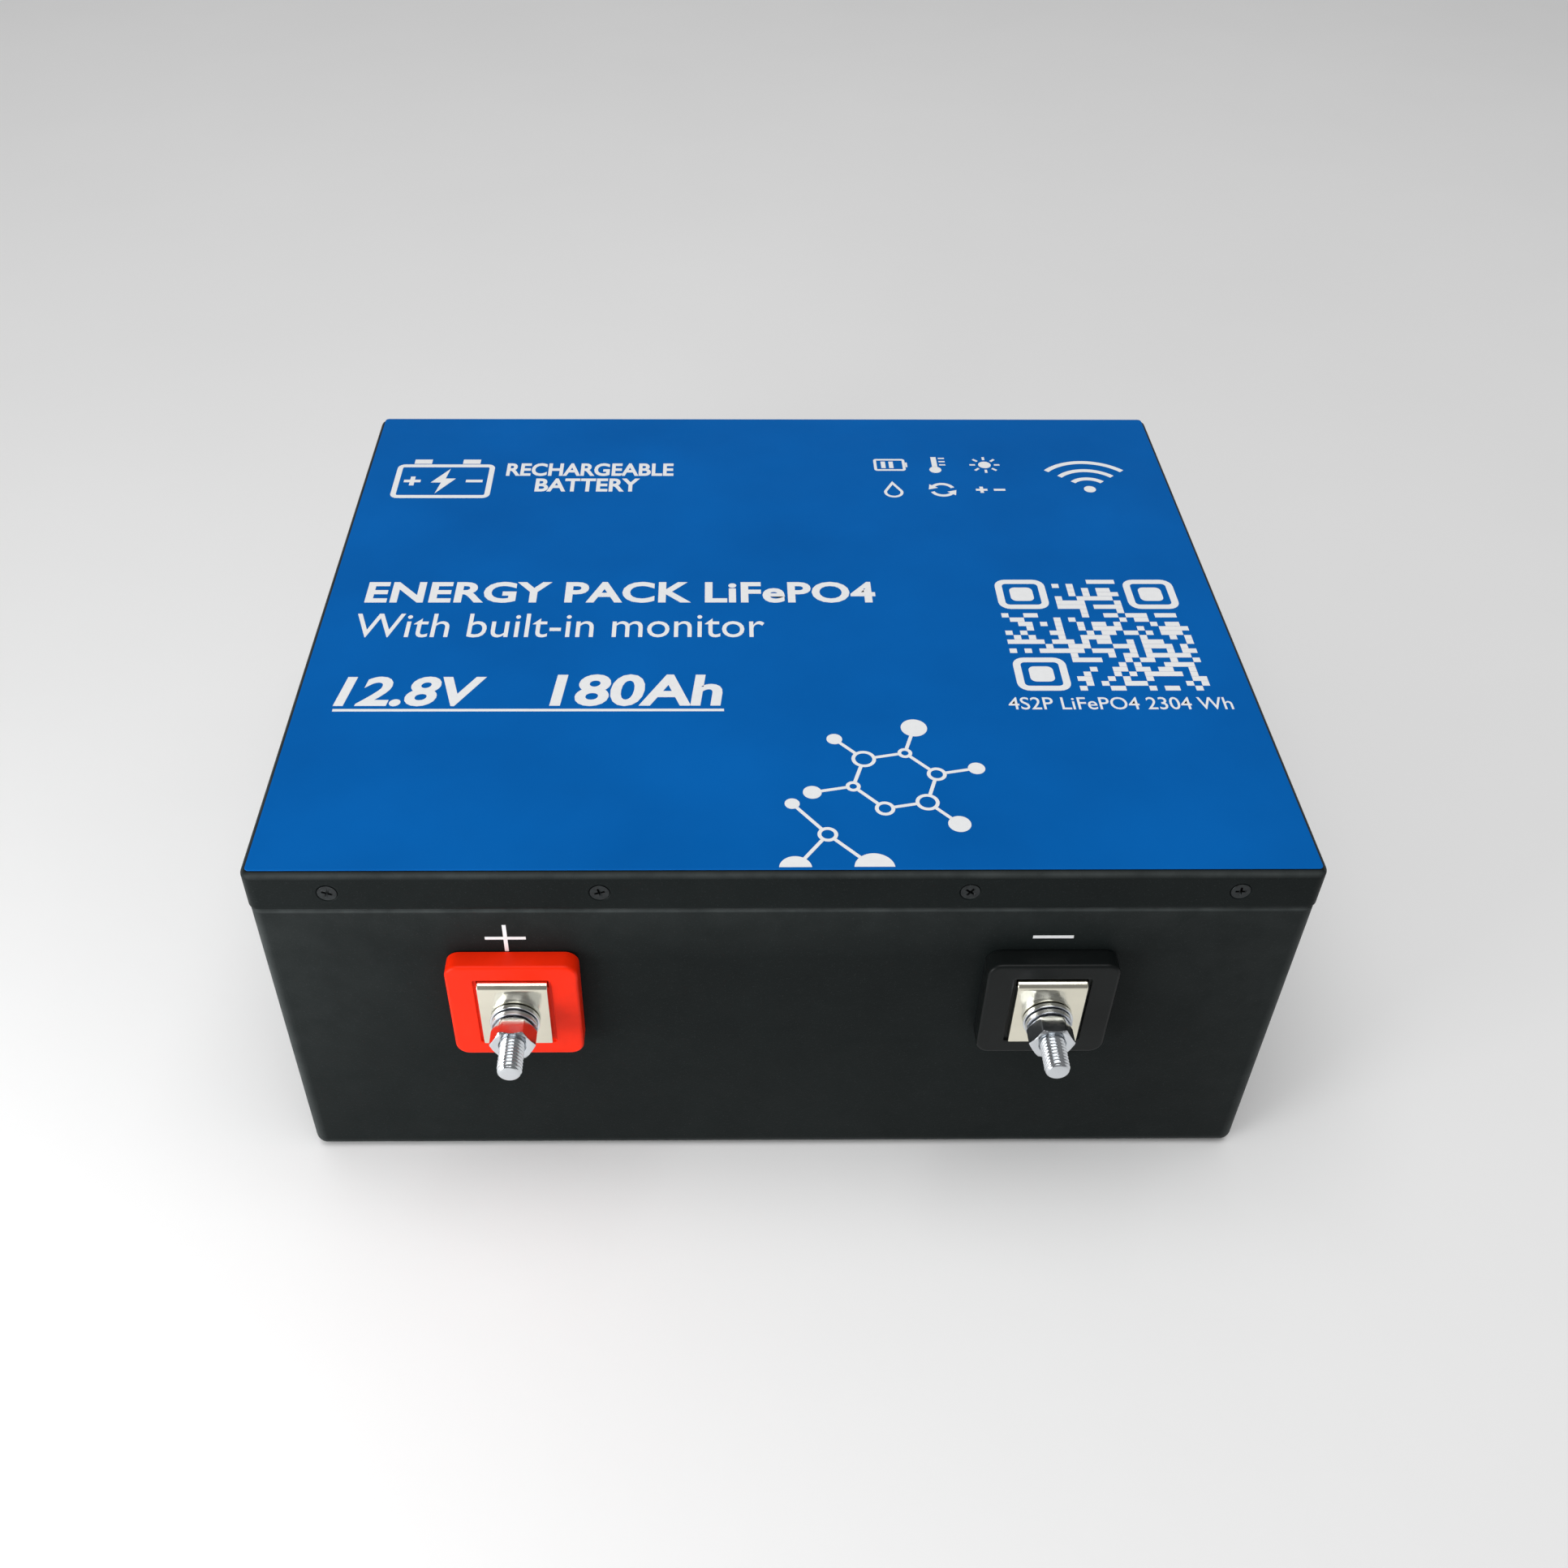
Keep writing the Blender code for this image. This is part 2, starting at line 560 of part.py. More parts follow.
def busbar(name, x):
    """A plated strip that lies in the insulator's seat and bends back through its slot."""
    plate = PLATE_Y - BUSBAR_THICKNESS
    top = STUD_Z + BUSBAR_ABOVE
    path = [(plate, STUD_Z - BUSBAR_BELOW)]
    for i in range(BEND_STEPS + 1):
        angle = math.pi / 2 * i / BEND_STEPS
        y = plate + BUSBAR_BEND * (1 - math.cos(angle))
        path.append((y, top - BUSBAR_BEND * (1 - math.sin(angle))))
    path.append((SPIGOT_Y + BUSBAR_INSIDE, top))
    bm = bmesh.new()
    points = [bm.verts.new((x - BUSBAR_WIDTH / 2, y, z)) for y, z in path]
    line = [bm.edges.new(pair) for pair in zip(points, points[1:])]
    grown = bmesh.ops.extrude_edge_only(bm, edges=line)["geom"]
    for vert in (item for item in grown if isinstance(item, bmesh.types.BMVert)):
        vert.co.x += BUSBAR_WIDTH
    bmesh.ops.recalc_face_normals(bm, faces=bm.faces)
    if sum(face.normal.z - face.normal.y for face in bm.faces) < 0:
        bmesh.ops.reverse_faces(bm, faces=bm.faces)
    mesh = bpy.data.meshes.new(name)
    bm.to_mesh(mesh)
    bm.free()
    obj = add_object(name, mesh, "nickel_plate")
    sheet = obj.modifiers.new("Strip", "SOLIDIFY")
    sheet.thickness = BUSBAR_THICKNESS
    sheet.offset = -1.0
    sheet.use_even_offset = True
    holes = bmesh.new()
    add_cylinder(holes, STUD_BORE, (x, PLATE_Y + FIT, STUD_Z), (x, plate - FIT, STUD_Z))
    lug_y = SPIGOT_Y + BUSBAR_INSIDE - BUSBAR_WIDTH / 2
    below = top - BUSBAR_THICKNESS - FIT
    add_cylinder(holes, STUD_BORE, (x, lug_y, below), (x, lug_y, top + FIT))
    combine(obj, add_object(name + "_holes", mesh_from("holes", holes)))


def stud_mesh():
    """An M8 bolt along Z: the head's underside is at zero and the threaded end points up."""
    length = SPIGOT_Y - BOLT_HEAD_HEIGHT - FIT - (FACE - STUD_TIP)
    tip = STUD_RADIUS - STUD_TIP_CHAMFER
    profile = [
        (0.0, length),
        (tip, length),
        (STUD_RADIUS, length - STUD_TIP_CHAMFER),
        (STUD_RADIUS, -BOLT_HEAD_HEIGHT / 2),
        (0.0, -BOLT_HEAD_HEIGHT / 2),
    ]
    master = turned("stud_master", profile, steps=32)
    head = bmesh.new()
    add_cylinder(head, hexagon_radius(BOLT_HEAD_FLATS), (0, 0, -BOLT_HEAD_HEIGHT), (0, 0, 0), sides=6)
    other = add_object("stud_head", mesh_from("stud_head", head))
    combine(master, other, "UNION")
    mesh = baked(master)
    bpy.data.objects.remove(other, do_unlink=True)
    return mesh


def ring_mesh(name, radius, thickness, split=0.0):
    """A washer along Z from zero up; a spring washer is split by a slanting cut."""
    profile = [
        (STUD_BORE, thickness),
        (radius, thickness),
        (radius, 0.0),
        (STUD_BORE, 0.0),
        (STUD_BORE, thickness),
    ]
    master = turned(name + "_master", profile, steps=32)
    if not split:
        return baked(master)
    gap = bmesh.new()
    add_box(gap, (0, -split / 2, -thickness), (2 * radius, split / 2, 2 * thickness))
    shear = Matrix.Translation((0, -thickness / 4, 0)) @ Matrix.Shear("XY", 4, (0.0, 0.5))
    bmesh.ops.transform(gap, matrix=shear, verts=gap.verts)
    cutter = add_object("split", mesh_from("split", gap))
    combine(master, cutter)
    mesh = baked(master)
    bpy.data.objects.remove(cutter, do_unlink=True)
    return mesh


def nut_mesh():
    """A hexagon nut along Z from zero up, its corners turned off at both ends."""
    bm = bmesh.new()
    corner = hexagon_radius(NUT_FLATS)
    add_cylinder(bm, corner, (0, 0, 0), (0, 0, NUT_HEIGHT), sides=6)
    sixth = Matrix.Rotation(math.pi / 6, 3, "Z")
    bmesh.ops.rotate(bm, verts=bm.verts, matrix=sixth)
    master = add_object("nut_master", mesh_from("nut_master", bm))
    profile = [
        (0.0, NUT_HEIGHT + FIT),
        (NUT_FLATS / 2, NUT_HEIGHT + FIT),
        (NUT_FLATS / 2, NUT_HEIGHT),
        (corner + FIT, NUT_HEIGHT - NUT_CHAMFER),
        (corner + FIT, NUT_CHAMFER),
        (NUT_FLATS / 2, 0.0),
        (NUT_FLATS / 2, -FIT),
        (0.0, -FIT),
    ]
    barrel = turned("nut_barrel", profile)
    combine(master, barrel, "INTERSECT")
    bore = bmesh.new()
    add_cylinder(bore, STUD_BORE, (0, 0, -FIT), (0, 0, NUT_HEIGHT + FIT), sides=32)
    cutter = add_object("nut_bore", mesh_from("nut_bore", bore))
    combine(master, cutter)
    mesh = baked(master)
    for used in (barrel, cutter):
        bpy.data.objects.remove(used, do_unlink=True)
    return mesh


def terminals():
    """Both terminals: insulator, busbar, stud and the stack of washers and nut."""
    stud = stud_mesh()
    flat = ring_mesh("flat_washer", FLAT_WASHER_RADIUS, FLAT_WASHER_THICKNESS)
    spring = ring_mesh(
        "spring_washer", SPRING_WASHER_RADIUS, SPRING_WASHER_THICKNESS, SPRING_WASHER_SPLIT
    )
    nut = nut_mesh()
    forward = Matrix.Rotation(math.pi / 2, 4, "X")  # local +Z to the case's front
    for name, x, colour in (
        ("positive", -TERMINAL_X, "red_plastic"),
        ("negative", TERMINAL_X, "black_plastic"),
    ):
        insulator(name + "_insulator", x, colour)
        busbar(name + "_busbar", x)
        head_y = SPIGOT_Y - BOLT_HEAD_HEIGHT - FIT
        for piece, mesh, y, coat in (
            ("stud", stud, head_y, "zinc_plate"),
            ("flat_washer", flat, FLAT_WASHER_Y, "zinc_plate"),
            ("spring_washer", spring, SPRING_WASHER_Y, "spring_steel"),
            ("nut", nut, NUT_Y, "zinc_plate"),
        ):
            place = Matrix.Translation((x, y, STUD_Z)) @ forward
            add_object(f"{name}_{piece}", mesh, coat, place)


# --- Cells and what holds them ----------------------------------------------------------------------
def cell_x(index):
    """Middle of a cell along X, counted from the left."""
    group, place = divmod(index, CELLS_PER_GROUP)
    start = -CELL_HALF + group * (GROUP_WIDTH + GROUP_GAP)
    return start + place * (CELL_THICKNESS + PAIR_GAP) + CELL_THICKNESS / 2


def cell_mesh():
    """A prismatic can lying on its narrow side, with two posts and a vent on its front face."""
    bm = bmesh.new()
    half = CELL_THICKNESS / 2
    verts = set(add_box(bm, (-half, CELL_FRONT, CELL_LOW), (half, CELL_BACK, CELL_HIGH)))
    round_edges(bm, [e for e in bm.edges if set(e.verts) <= verts], CELL_RADIUS, 2)
    master = add_object("cell_master", mesh_from("cell_master", bm))
    posts = bmesh.new()
    for z in POST_ROWS:
        deep = CELL_FRONT + CELL_RADIUS
        add_cylinder(posts, POST_RADIUS, (0, deep, z), (0, CELL_FRONT - POST_HEIGHT, z))
    joined = add_object("cell_posts", mesh_from("cell_posts", posts))
    combine(master, joined, "UNION")
    vent = bmesh.new()
    front = CELL_FRONT - FIT
    add_cylinder(vent, VENT_RADIUS, (0, front, CELL_MIDDLE), (0, CELL_FRONT + VENT_DEPTH, CELL_MIDDLE))
    cutter = add_object("cell_vent", mesh_from("cell_vent", vent))
    combine(master, cutter)
    mesh = baked(master)
    for used in (joined, cutter):
        bpy.data.objects.remove(used, do_unlink=True)
    return mesh


def link(name, first, last, row):
    """A welded busbar over the posts of the cells from first to last, in one row of posts."""
    z = POST_ROWS[row]
    low = (cell_x(first) - LINK_END, LINK_FRONT, z - LINK_WIDTH / 2)
    high = (cell_x(last) + LINK_END, LINK_BACK, z + LINK_WIDTH / 2)
    obj = slab_part(name, low, high, "copper", radius=LINK_CORNER_RADIUS, axis=1)
    holes = bmesh.new()
    for index in range(first, last + 1):
        x = cell_x(index)
        start = (x, LINK_FRONT - FIT, z)
        add_cylinder(holes, LINK_HOLE_RADIUS, start, (x, LINK_BACK + FIT, z), sides=16)
    combine(obj, add_object(name + "_holes", mesh_from("holes", holes)))


def cells():
    mesh = cell_mesh()
    count = CELL_GROUPS * CELLS_PER_GROUP
    for index in range(count):
        place = Matrix.Translation((cell_x(index), 0, 0))
        add_object(f"cell_{index + 1}", mesh, "cell_wrap", place)
    for number in range(1, CELL_GROUPS):
        x = -CELL_HALF + number * (GROUP_WIDTH + GROUP_GAP) - GROUP_GAP / 2
        low = (x - SEPARATOR / 2, CELL_FRONT, CELL_LOW)
        high = (x + SEPARATOR / 2, CELL_BACK, CELL_HIGH)
        slab_part(f"separator_{number}", low, high, "fibre_board")
        first = (number - 1) * CELLS_PER_GROUP
        last = (number + 1) * CELLS_PER_GROUP - 1
        link(f"series_busbar_{number}", first, last, row=(number + 1) % 2)
    link("positive_cell_busbar", 0, CELLS_PER_GROUP - 1, row=1)
    link("negative_cell_busbar", count - CELLS_PER_GROUP, count - 1, row=1)


def pads():
    """Foam between the cells and the case."""
    half_x, half_y = INNER_HALF.x - FIT, INNER_HALF.y - FIT
    pad_x = CELL_HALF + STRAP_LAYER
    low, high = CELL_LOW, SCREW_Z - SCREW_HEAD_RADIUS - FIT  # clear of the screws' ends
    floor_x = TUB_HALF.x - BASE_RADIUS - FIT  # between the tub's lower fillets
    slab_part(
        "bottom_pad",
        (-floor_x, CELL_FRONT, PAD_LOW),
        (floor_x, CELL_BACK, PAD_LOW + BOTTOM_PAD),
        "foam",
    )
    top = CELL_HIGH + STRAP_LAYER
    slab_part("top_pad", (-half_x, CELL_FRONT, top), (half_x, CELL_BACK, top + TOP_PAD), "foam")
    slab_part("left_pad", (-half_x, CELL_FRONT, low), (-pad_x, CELL_BACK, high), "foam")
    slab_part("right_pad", (pad_x, CELL_FRONT, low), (half_x, CELL_BACK, high), "foam")
    end_x = half_x - CORNER_RADIUS
    slab_part("back_pad", (-end_x, half_y - BACK_PAD, low), (end_x, half_y, high), "foam")


def straps():
    """Two bands that hold the cells together, each a closed rectangular loop."""
    inner_x, inner_low, inner_high = CELL_HALF + FIT, CELL_LOW - FIT, CELL_HIGH + FIT
    wall = STRAP_THICKNESS
    for number, y in ((1, CELL_FRONT + STRAP_INSET), (2, CELL_BACK - STRAP_INSET)):
        name = f"strap_{number}"
        front, back = y - STRAP_WIDTH / 2, y + STRAP_WIDTH / 2
        low = (-inner_x - wall, front, inner_low - wall)
        obj = slab_part(name, low, (inner_x + wall, back, inner_high + wall), "strap_band")
        hole = bmesh.new()
        add_box(hole, (-inner_x, front - FIT, inner_low), (inner_x, back + FIT, inner_high))
        combine(obj, add_object(name + "_hole", mesh_from("hole", hole)))


# --- Electronics and wiring -------------------------------------------------------------------------
def mounting_board():
    """An insulating board in front of the welded busbars, with four bosses for the circuit board."""
    half = BMS_HALF + BOARD_MARGIN
    low, high = CELL_LOW, CELL_HIGH
    front = BOARD_BACK - BOARD_SHEET
    obj = slab_part(
        "bms_mounting_board", (-half, front, low), (half, BOARD_BACK, high), "fibre_board"
    )
    bosses = bmesh.new()
    for x in (2 * BOSS_RADIUS - BMS_HALF, BMS_HALF - 2 * BOSS_RADIUS):
        for z in (BMS_LOW + 2 * BOSS_RADIUS, BMS_HIGH - 2 * BOSS_RADIUS):
            start = (x, front + BOARD_SHEET / 2, z)
            add_cylinder(bosses, BOSS_RADIUS, start, (x, front - BOSS_HEIGHT, z), sides=16)
    combine(obj, add_object("bosses", mesh_from("bosses", bosses)), "UNION")
    module_x = BMS_HALF - MODULE_WIDTH
    module_low = CELL_LOW + MODULE_FOOT
    slab_part(
        "wireless_module",
        (module_x, front - FIT - MODULE_DEPTH, module_low),
        (module_x + MODULE_WIDTH, front - FIT, module_low + MODULE_HEIGHT),
        "circuit_board",
    )


def bms():
    """The circuit board with its transistor row and solder pads, and the finned heatsink on it."""
    obj = slab_part(
        "bms_board", (-BMS_HALF, BMS_FRONT, BMS_LOW), (BMS_HALF, BMS_BACK, BMS_HIGH), "circuit_board"
    )
    middle = (BMS_LOW + BMS_HIGH) / 2
    sink_low, sink_high = BMS_LOW + HEATSINK_END_MARGIN, BMS_HIGH - HEATSINK_END_MARGIN
    sink_half = BMS_HALF - PAD_WIDTH - FIT
    raised = bmesh.new()
    under = BMS_FRONT + BMS_SHEET / 2
    row = sink_half - MOSFET_INSET
    for z in (middle - MOSFET_BAND, middle + MOSFET_BAND):
        low = (-row, BMS_FRONT - MOSFET_HEIGHT, z - MOSFET_BAND / 2)
        add_box(raised, low, (row, under, z + MOSFET_BAND / 2))
    for z in pad_rows():
        low = (sink_half + FIT, BMS_FRONT - PAD_HEIGHT, z - PAD_WIDTH / 2)
        add_box(raised, low, (BMS_HALF - FIT, under, z + PAD_WIDTH / 2))
    combine(obj, add_object("bms_raised", mesh_from("bms_raised", raised)), "UNION")
    back = BMS_FRONT - MOSFET_HEIGHT - FIT
    sink = slab_part(
        "bms_heatsink",
        (-sink_half, back - HEATSINK_BASE, sink_low),
        (sink_half, back, sink_high),
        "aluminium",
    )
    fins = bmesh.new()
    for index in range(HEATSINK_FINS):
        share = index / (HEATSINK_FINS - 1)
        x = -sink_half + HEATSINK_FIN / 2 + FIT + share * (2 * sink_half - HEATSINK_FIN - 2 * FIT)
        low = (x - HEATSINK_FIN / 2, back - HEATSINK_DEPTH, sink_low + FIT)
        high = (x + HEATSINK_FIN / 2, back - HEATSINK_BASE / 2, sink_high - FIT)
        add_box(fins, low, high)
    combine(sink, add_object("heatsink_fins", mesh_from("heatsink_fins", fins)), "UNION")
    plug_low = BMS_HIGH - PLUG_HEIGHT
    plug_front = BMS_FRONT - FIT - PLUG_DEPTH
    slab_part(
        "sense_plug",
        (-PLUG_WIDTH / 2, plug_front, plug_low),
        (PLUG_WIDTH / 2, BMS_FRONT - FIT, BMS_HIGH),
        "white_nylon",
    )


def pad_rows():
    """Heights of the two solder pads at the circuit board's right edge: output, then cells."""
    middle = (BMS_LOW + BMS_HIGH) / 2
    return middle - PAD_WIDTH, middle + PAD_WIDTH


def cables():
    """The positive lead, the two negative leads of the circuit board, and the sense harness."""
    leg_end = SPIGOT_Y + BUSBAR_INSIDE + FIT
    leg_z = STUD_Z + BUSBAR_ABOVE - BUSBAR_THICKNESS / 2
    link_y = LINK_FRONT - FIT
    post_z = POST_ROWS[1]
    near_left = cell_x(0) + LINK_END
    reach = (link_y - leg_end) / 2
    forward, right = (0, -reach, 0), (reach, 0, 0)
    lead = eased_run((near_left, link_y, post_z), forward, (-TERMINAL_X, leg_end, leg_z), forward)
    tube("positive_cable", lead, CABLE_RADIUS, "red_silicone")
    pad_x = BMS_HALF + FIT
    pad_y = BMS_FRONT - CABLE_RADIUS - FIT
    output_z, cell_z = pad_rows()
    lead = eased_run((pad_x, pad_y, cell_z), right, (-near_left, link_y, post_z), (0, reach / 2, 0))
    tube("negative_cell_cable", lead, CABLE_RADIUS, "black_silicone")
    lead = eased_run((pad_x, pad_y, output_z), right, (TERMINAL_X, leg_end, leg_z), (0, -reach / 2, 0))
    tube("negative_output_cable", lead, CABLE_RADIUS, "black_silicone")
    plug = (-PLUG_WIDTH / 2 - FIT, BMS_FRONT - FIT - PLUG_DEPTH / 2, BMS_HIGH - PLUG_HEIGHT / 2)
    along = (-BMS_HALF - BOARD_MARGIN, 0, 0)
    far = (cell_x(CELLS_PER_GROUP - 1), link_y, post_z)
    wire = eased_run(plug, along, far, (0, BOARD_GAP + BOARD_SHEET + BOSS_HEIGHT, 0))
    tube("sense_harness", wire, HARNESS_RADIUS, "black_silicone")


clear_scene()
PARTS = new_collection("battery_pack")
CUTTERS = new_collection("cutters")
case_tub()
case_lid()
top_label()
lid_screws()
terminals()
cells()
pads()
straps()
mounting_board()
bms()
cables()
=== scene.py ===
# %% [markdown]
# # A 12.8 V battery pack in a black steel case
# The pack is a folded steel tub with a screwed lid, a blue printed label, and two M8 stud
# terminals on moulded blocks. Inside lie eight flat cells, their welded busbars and the circuit
# board that guards them. The CAD model gives every place and size as a fixed frame; this file
# gives the looks. It is read from top to bottom: first the helpers, then the finishes, then one
# short step for each piece.

# %% The frame
import math

import bmesh
import bpy
import numpy as np
from mathutils import Matrix, Vector


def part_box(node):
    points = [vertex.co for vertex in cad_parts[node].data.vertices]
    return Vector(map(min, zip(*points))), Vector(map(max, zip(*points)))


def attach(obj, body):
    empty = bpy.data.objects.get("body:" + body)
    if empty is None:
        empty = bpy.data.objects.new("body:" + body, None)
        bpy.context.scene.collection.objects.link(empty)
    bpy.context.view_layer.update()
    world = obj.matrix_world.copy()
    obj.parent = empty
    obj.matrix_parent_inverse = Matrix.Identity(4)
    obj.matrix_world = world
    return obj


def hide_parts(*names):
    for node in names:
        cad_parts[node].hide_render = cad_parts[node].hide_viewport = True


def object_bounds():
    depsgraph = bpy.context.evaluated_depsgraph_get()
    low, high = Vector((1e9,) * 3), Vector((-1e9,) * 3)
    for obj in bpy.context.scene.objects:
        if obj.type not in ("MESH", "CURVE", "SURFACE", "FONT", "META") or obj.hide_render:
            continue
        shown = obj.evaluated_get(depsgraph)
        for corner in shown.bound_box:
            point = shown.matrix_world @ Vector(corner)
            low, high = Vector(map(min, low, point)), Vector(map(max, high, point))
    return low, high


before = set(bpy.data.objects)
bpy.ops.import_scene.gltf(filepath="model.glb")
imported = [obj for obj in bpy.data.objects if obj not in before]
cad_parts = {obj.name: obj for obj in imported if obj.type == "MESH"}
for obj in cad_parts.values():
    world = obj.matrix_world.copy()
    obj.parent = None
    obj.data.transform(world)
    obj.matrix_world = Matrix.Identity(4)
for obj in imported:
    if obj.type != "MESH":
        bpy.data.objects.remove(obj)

SCENE = bpy.context.scene
MM = 0.001
cad_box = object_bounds()
print("CAD box, mm:", [[round(c / MM, 1) for c in corner] for corner in cad_box])


def node_box(node):
    """Lowest and highest corner of a CAD node as two numpy arrays."""
    low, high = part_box(node)
    return np.array(low), np.array(high)


def middle(node):
    """Centre of a CAD node's box."""
    low, high = node_box(node)
    return (low + high) / 2


def new_object(name, data):
    """An object that holds a mesh, a light, a camera or a text, linked to the scene."""
    holder = bpy.data.objects.new(name, data)
    SCENE.collection.objects.link(holder)
    return holder


# %% [markdown]
# ## Camera
# A camera is a point, a direction and a lens. Here the direction is written as an azimuth, an
# elevation and a small roll, and the three axes of the camera follow from them by cross products.
# Doing it this way keeps the view readable: each number is one thing that a photographer would set.

# %% Camera
CAMERA_AT = np.array((-20.90, -468.95, 472.98)) * MM
AZIMUTH, ELEVATION, ROLL = np.radians((0.814, 41.998, 0.467))
LENS = 35.75  # mm on a 36 mm sensor
SIDE_SHIFT = 0.0326


def camera_axes(azimuth, elevation, roll):
    """Right, up and back of a camera.

    Forward is (sin a cos e, cos a cos e, -sin e); right is forward x Z; up is right x forward;
    the roll then turns right and up about forward.
    """
    forward = np.array((math.sin(azimuth) * math.cos(elevation),
                        math.cos(azimuth) * math.cos(elevation), -math.sin(elevation)))
    right = np.cross(forward, (0, 0, 1))
    right /= np.linalg.norm(right)
    up = np.cross(right, forward)
    turned_right = math.cos(roll) * right + math.sin(roll) * up
    turned_up = -math.sin(roll) * right + math.cos(roll) * up
    return turned_right, turned_up, -forward


camera_data = bpy.data.cameras.new("studio_camera")
camera_data.lens = LENS
camera_data.sensor_width = 36.0
camera_data.shift_x = SIDE_SHIFT
camera_data.dof.use_dof = False
camera = new_object("studio_camera", camera_data)
turn = Matrix(np.array(camera_axes(AZIMUTH, ELEVATION, ROLL)).T.tolist())
camera.matrix_world = Matrix.Translation(CAMERA_AT) @ turn.to_4x4()
bpy.context.scene.camera = camera
print("camera at", CAMERA_AT, "lens", LENS)

# %% [markdown]
# ## Surfaces from arrays
# Every new piece is a grid of points: rows of rings. A ring is a closed line of points, and the
# rows carry that ring along a profile or a path. Neighbouring points make four-sided faces, so one
# array holds a whole piece, and numpy can work out all of it at once. The ends are either closed
# with a flat face, or the last ring joins the first, as on a washer.

# %% Grids of rings
def grid_surface(grid, ends="capped", round_about=True):
    """(points, faces) of a grid of shape (rows, columns, 3).

    Face (i, j) joins points (i, j), (i, j+1), (i+1, j+1) and (i+1, j), with j taken round the ring.
    With ends "capped" a flat face closes the first and the last ring; with "looped" they join.
    """
    rows, columns = grid.shape[:2]
    index = np.arange(rows * columns).reshape(rows, columns)
    lower = index if ends == "looped" else index[:-1]
    upper = np.roll(index, -1, axis=0) if ends == "looped" else index[1:]
    quads = np.stack([lower, np.roll(lower, -1, 1), np.roll(upper, -1, 1), upper], axis=-1)
    if not round_about:
        quads = quads[:, :-1]
    faces = quads.reshape(-1, 4).tolist()
    if ends == "capped":
        faces += [index[0][::-1].tolist(), index[-1].tolist()]
    return grid.reshape(-1, 3), faces


def joined(surfaces):
    """Several (points, faces) as one: the points are stacked and each face's numbers moved up."""
    points, faces, start = [], [], 0
    for more_points, more_faces in surfaces:
        points.append(more_points)
        faces += [[start + i for i in face] for face in more_faces]
        start += len(more_points)
    return np.concatenate(points), faces


def positions(mesh):
    """The places of a mesh's vertices as an array (n, 3)."""
    points = np.empty(len(mesh.vertices) * 3)
    mesh.vertices.foreach_get("co", points)
    return points.reshape(-1, 3)


def signed_volume(mesh):
    """Sum over the triangles of a . (b x c) / 6, which is positive where the faces look out."""
    mesh.calc_loop_triangles()
    corners = np.empty(len(mesh.loop_triangles) * 3, np.int32)
    mesh.loop_triangles.foreach_get("vertices", corners)
    a, b, c = positions(mesh)[corners.reshape(-1, 3)].transpose(1, 0, 2)
    return float(np.einsum("ij,ij->i", a, np.cross(b, c)).sum() / 6)


def mesh_of(name, surface):
    """A mesh from (points, faces), turned right way out if the formula ran the other way round."""
    points, faces = surface
    mesh = bpy.data.meshes.new(name)
    mesh.from_pydata(points.tolist(), [], faces)
    mesh.update()
    if signed_volume(mesh) < 0:
        mesh.flip_normals()
    return mesh


# %% [markdown]
# ## Adding a piece
# A finished piece stays at the origin with its place in its mesh, so a pattern on object
# coordinates never slides. It rides on a CAD body, it may stand for a CAD node, and it takes the
# finish that it is given.

# %% Pieces
made = {}


def add_piece(name, shape, finish, slot, body="case", stands_for=(), sharp=32.0):
    """Links a mesh or a surface as a piece, smooth up to an angle in degrees, and binds it."""
    mesh = mesh_of(name, shape) if isinstance(shape, tuple) else shape
    mesh.materials.clear()
    mesh.materials.append(finish.material)
    mesh.shade_smooth()
    mesh.set_sharp_from_angle(angle=math.radians(sharp))
    piece = new_object(name, mesh)
    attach(piece, body)
    if stands_for:
        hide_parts(*stands_for)
    made[name] = sum(len(face.vertices) - 2 for face in mesh.polygons)
    print(f"{name}: {made[name]} triangles on {body}")
    return piece


def carry_finish(node, finish):
    """Gives a CAD node that stays its new material."""
    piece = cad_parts[node]
    piece.data.materials.clear()
    piece.data.materials.append(finish.material)


def cut(mesh, cutters):
    """The mesh less each cutter surface, by exact booleans on scratch objects that are removed."""
    target = new_object("scratch_target", mesh)
    helpers = [new_object("scratch_cutter", mesh_of("cutter", cutter)) for cutter in cutters]
    for helper in helpers:
        modifier = target.modifiers.new("Cut", "BOOLEAN")
        modifier.operation = "DIFFERENCE"
        modifier.solver = "EXACT"
        modifier.object = helper
    graph = bpy.context.evaluated_depsgraph_get()
    result = bpy.data.meshes.new_from_object(target.evaluated_get(graph))
    for helper in [target, *helpers]:
        bpy.data.objects.remove(helper, do_unlink=True)
    return result


# %% [markdown]
# ## Rings
# Most of this pack is rounded rectangles: the case, the label, the terminal blocks. A circle of
# the same number of points lets a rectangle flow into a round bore in one surface. Two extra
# points sit just past each arc, so that the smooth shading of the corner ends there and the flat
# side stays flat.

# %% Rings and profiles
ARC_POINTS = 9


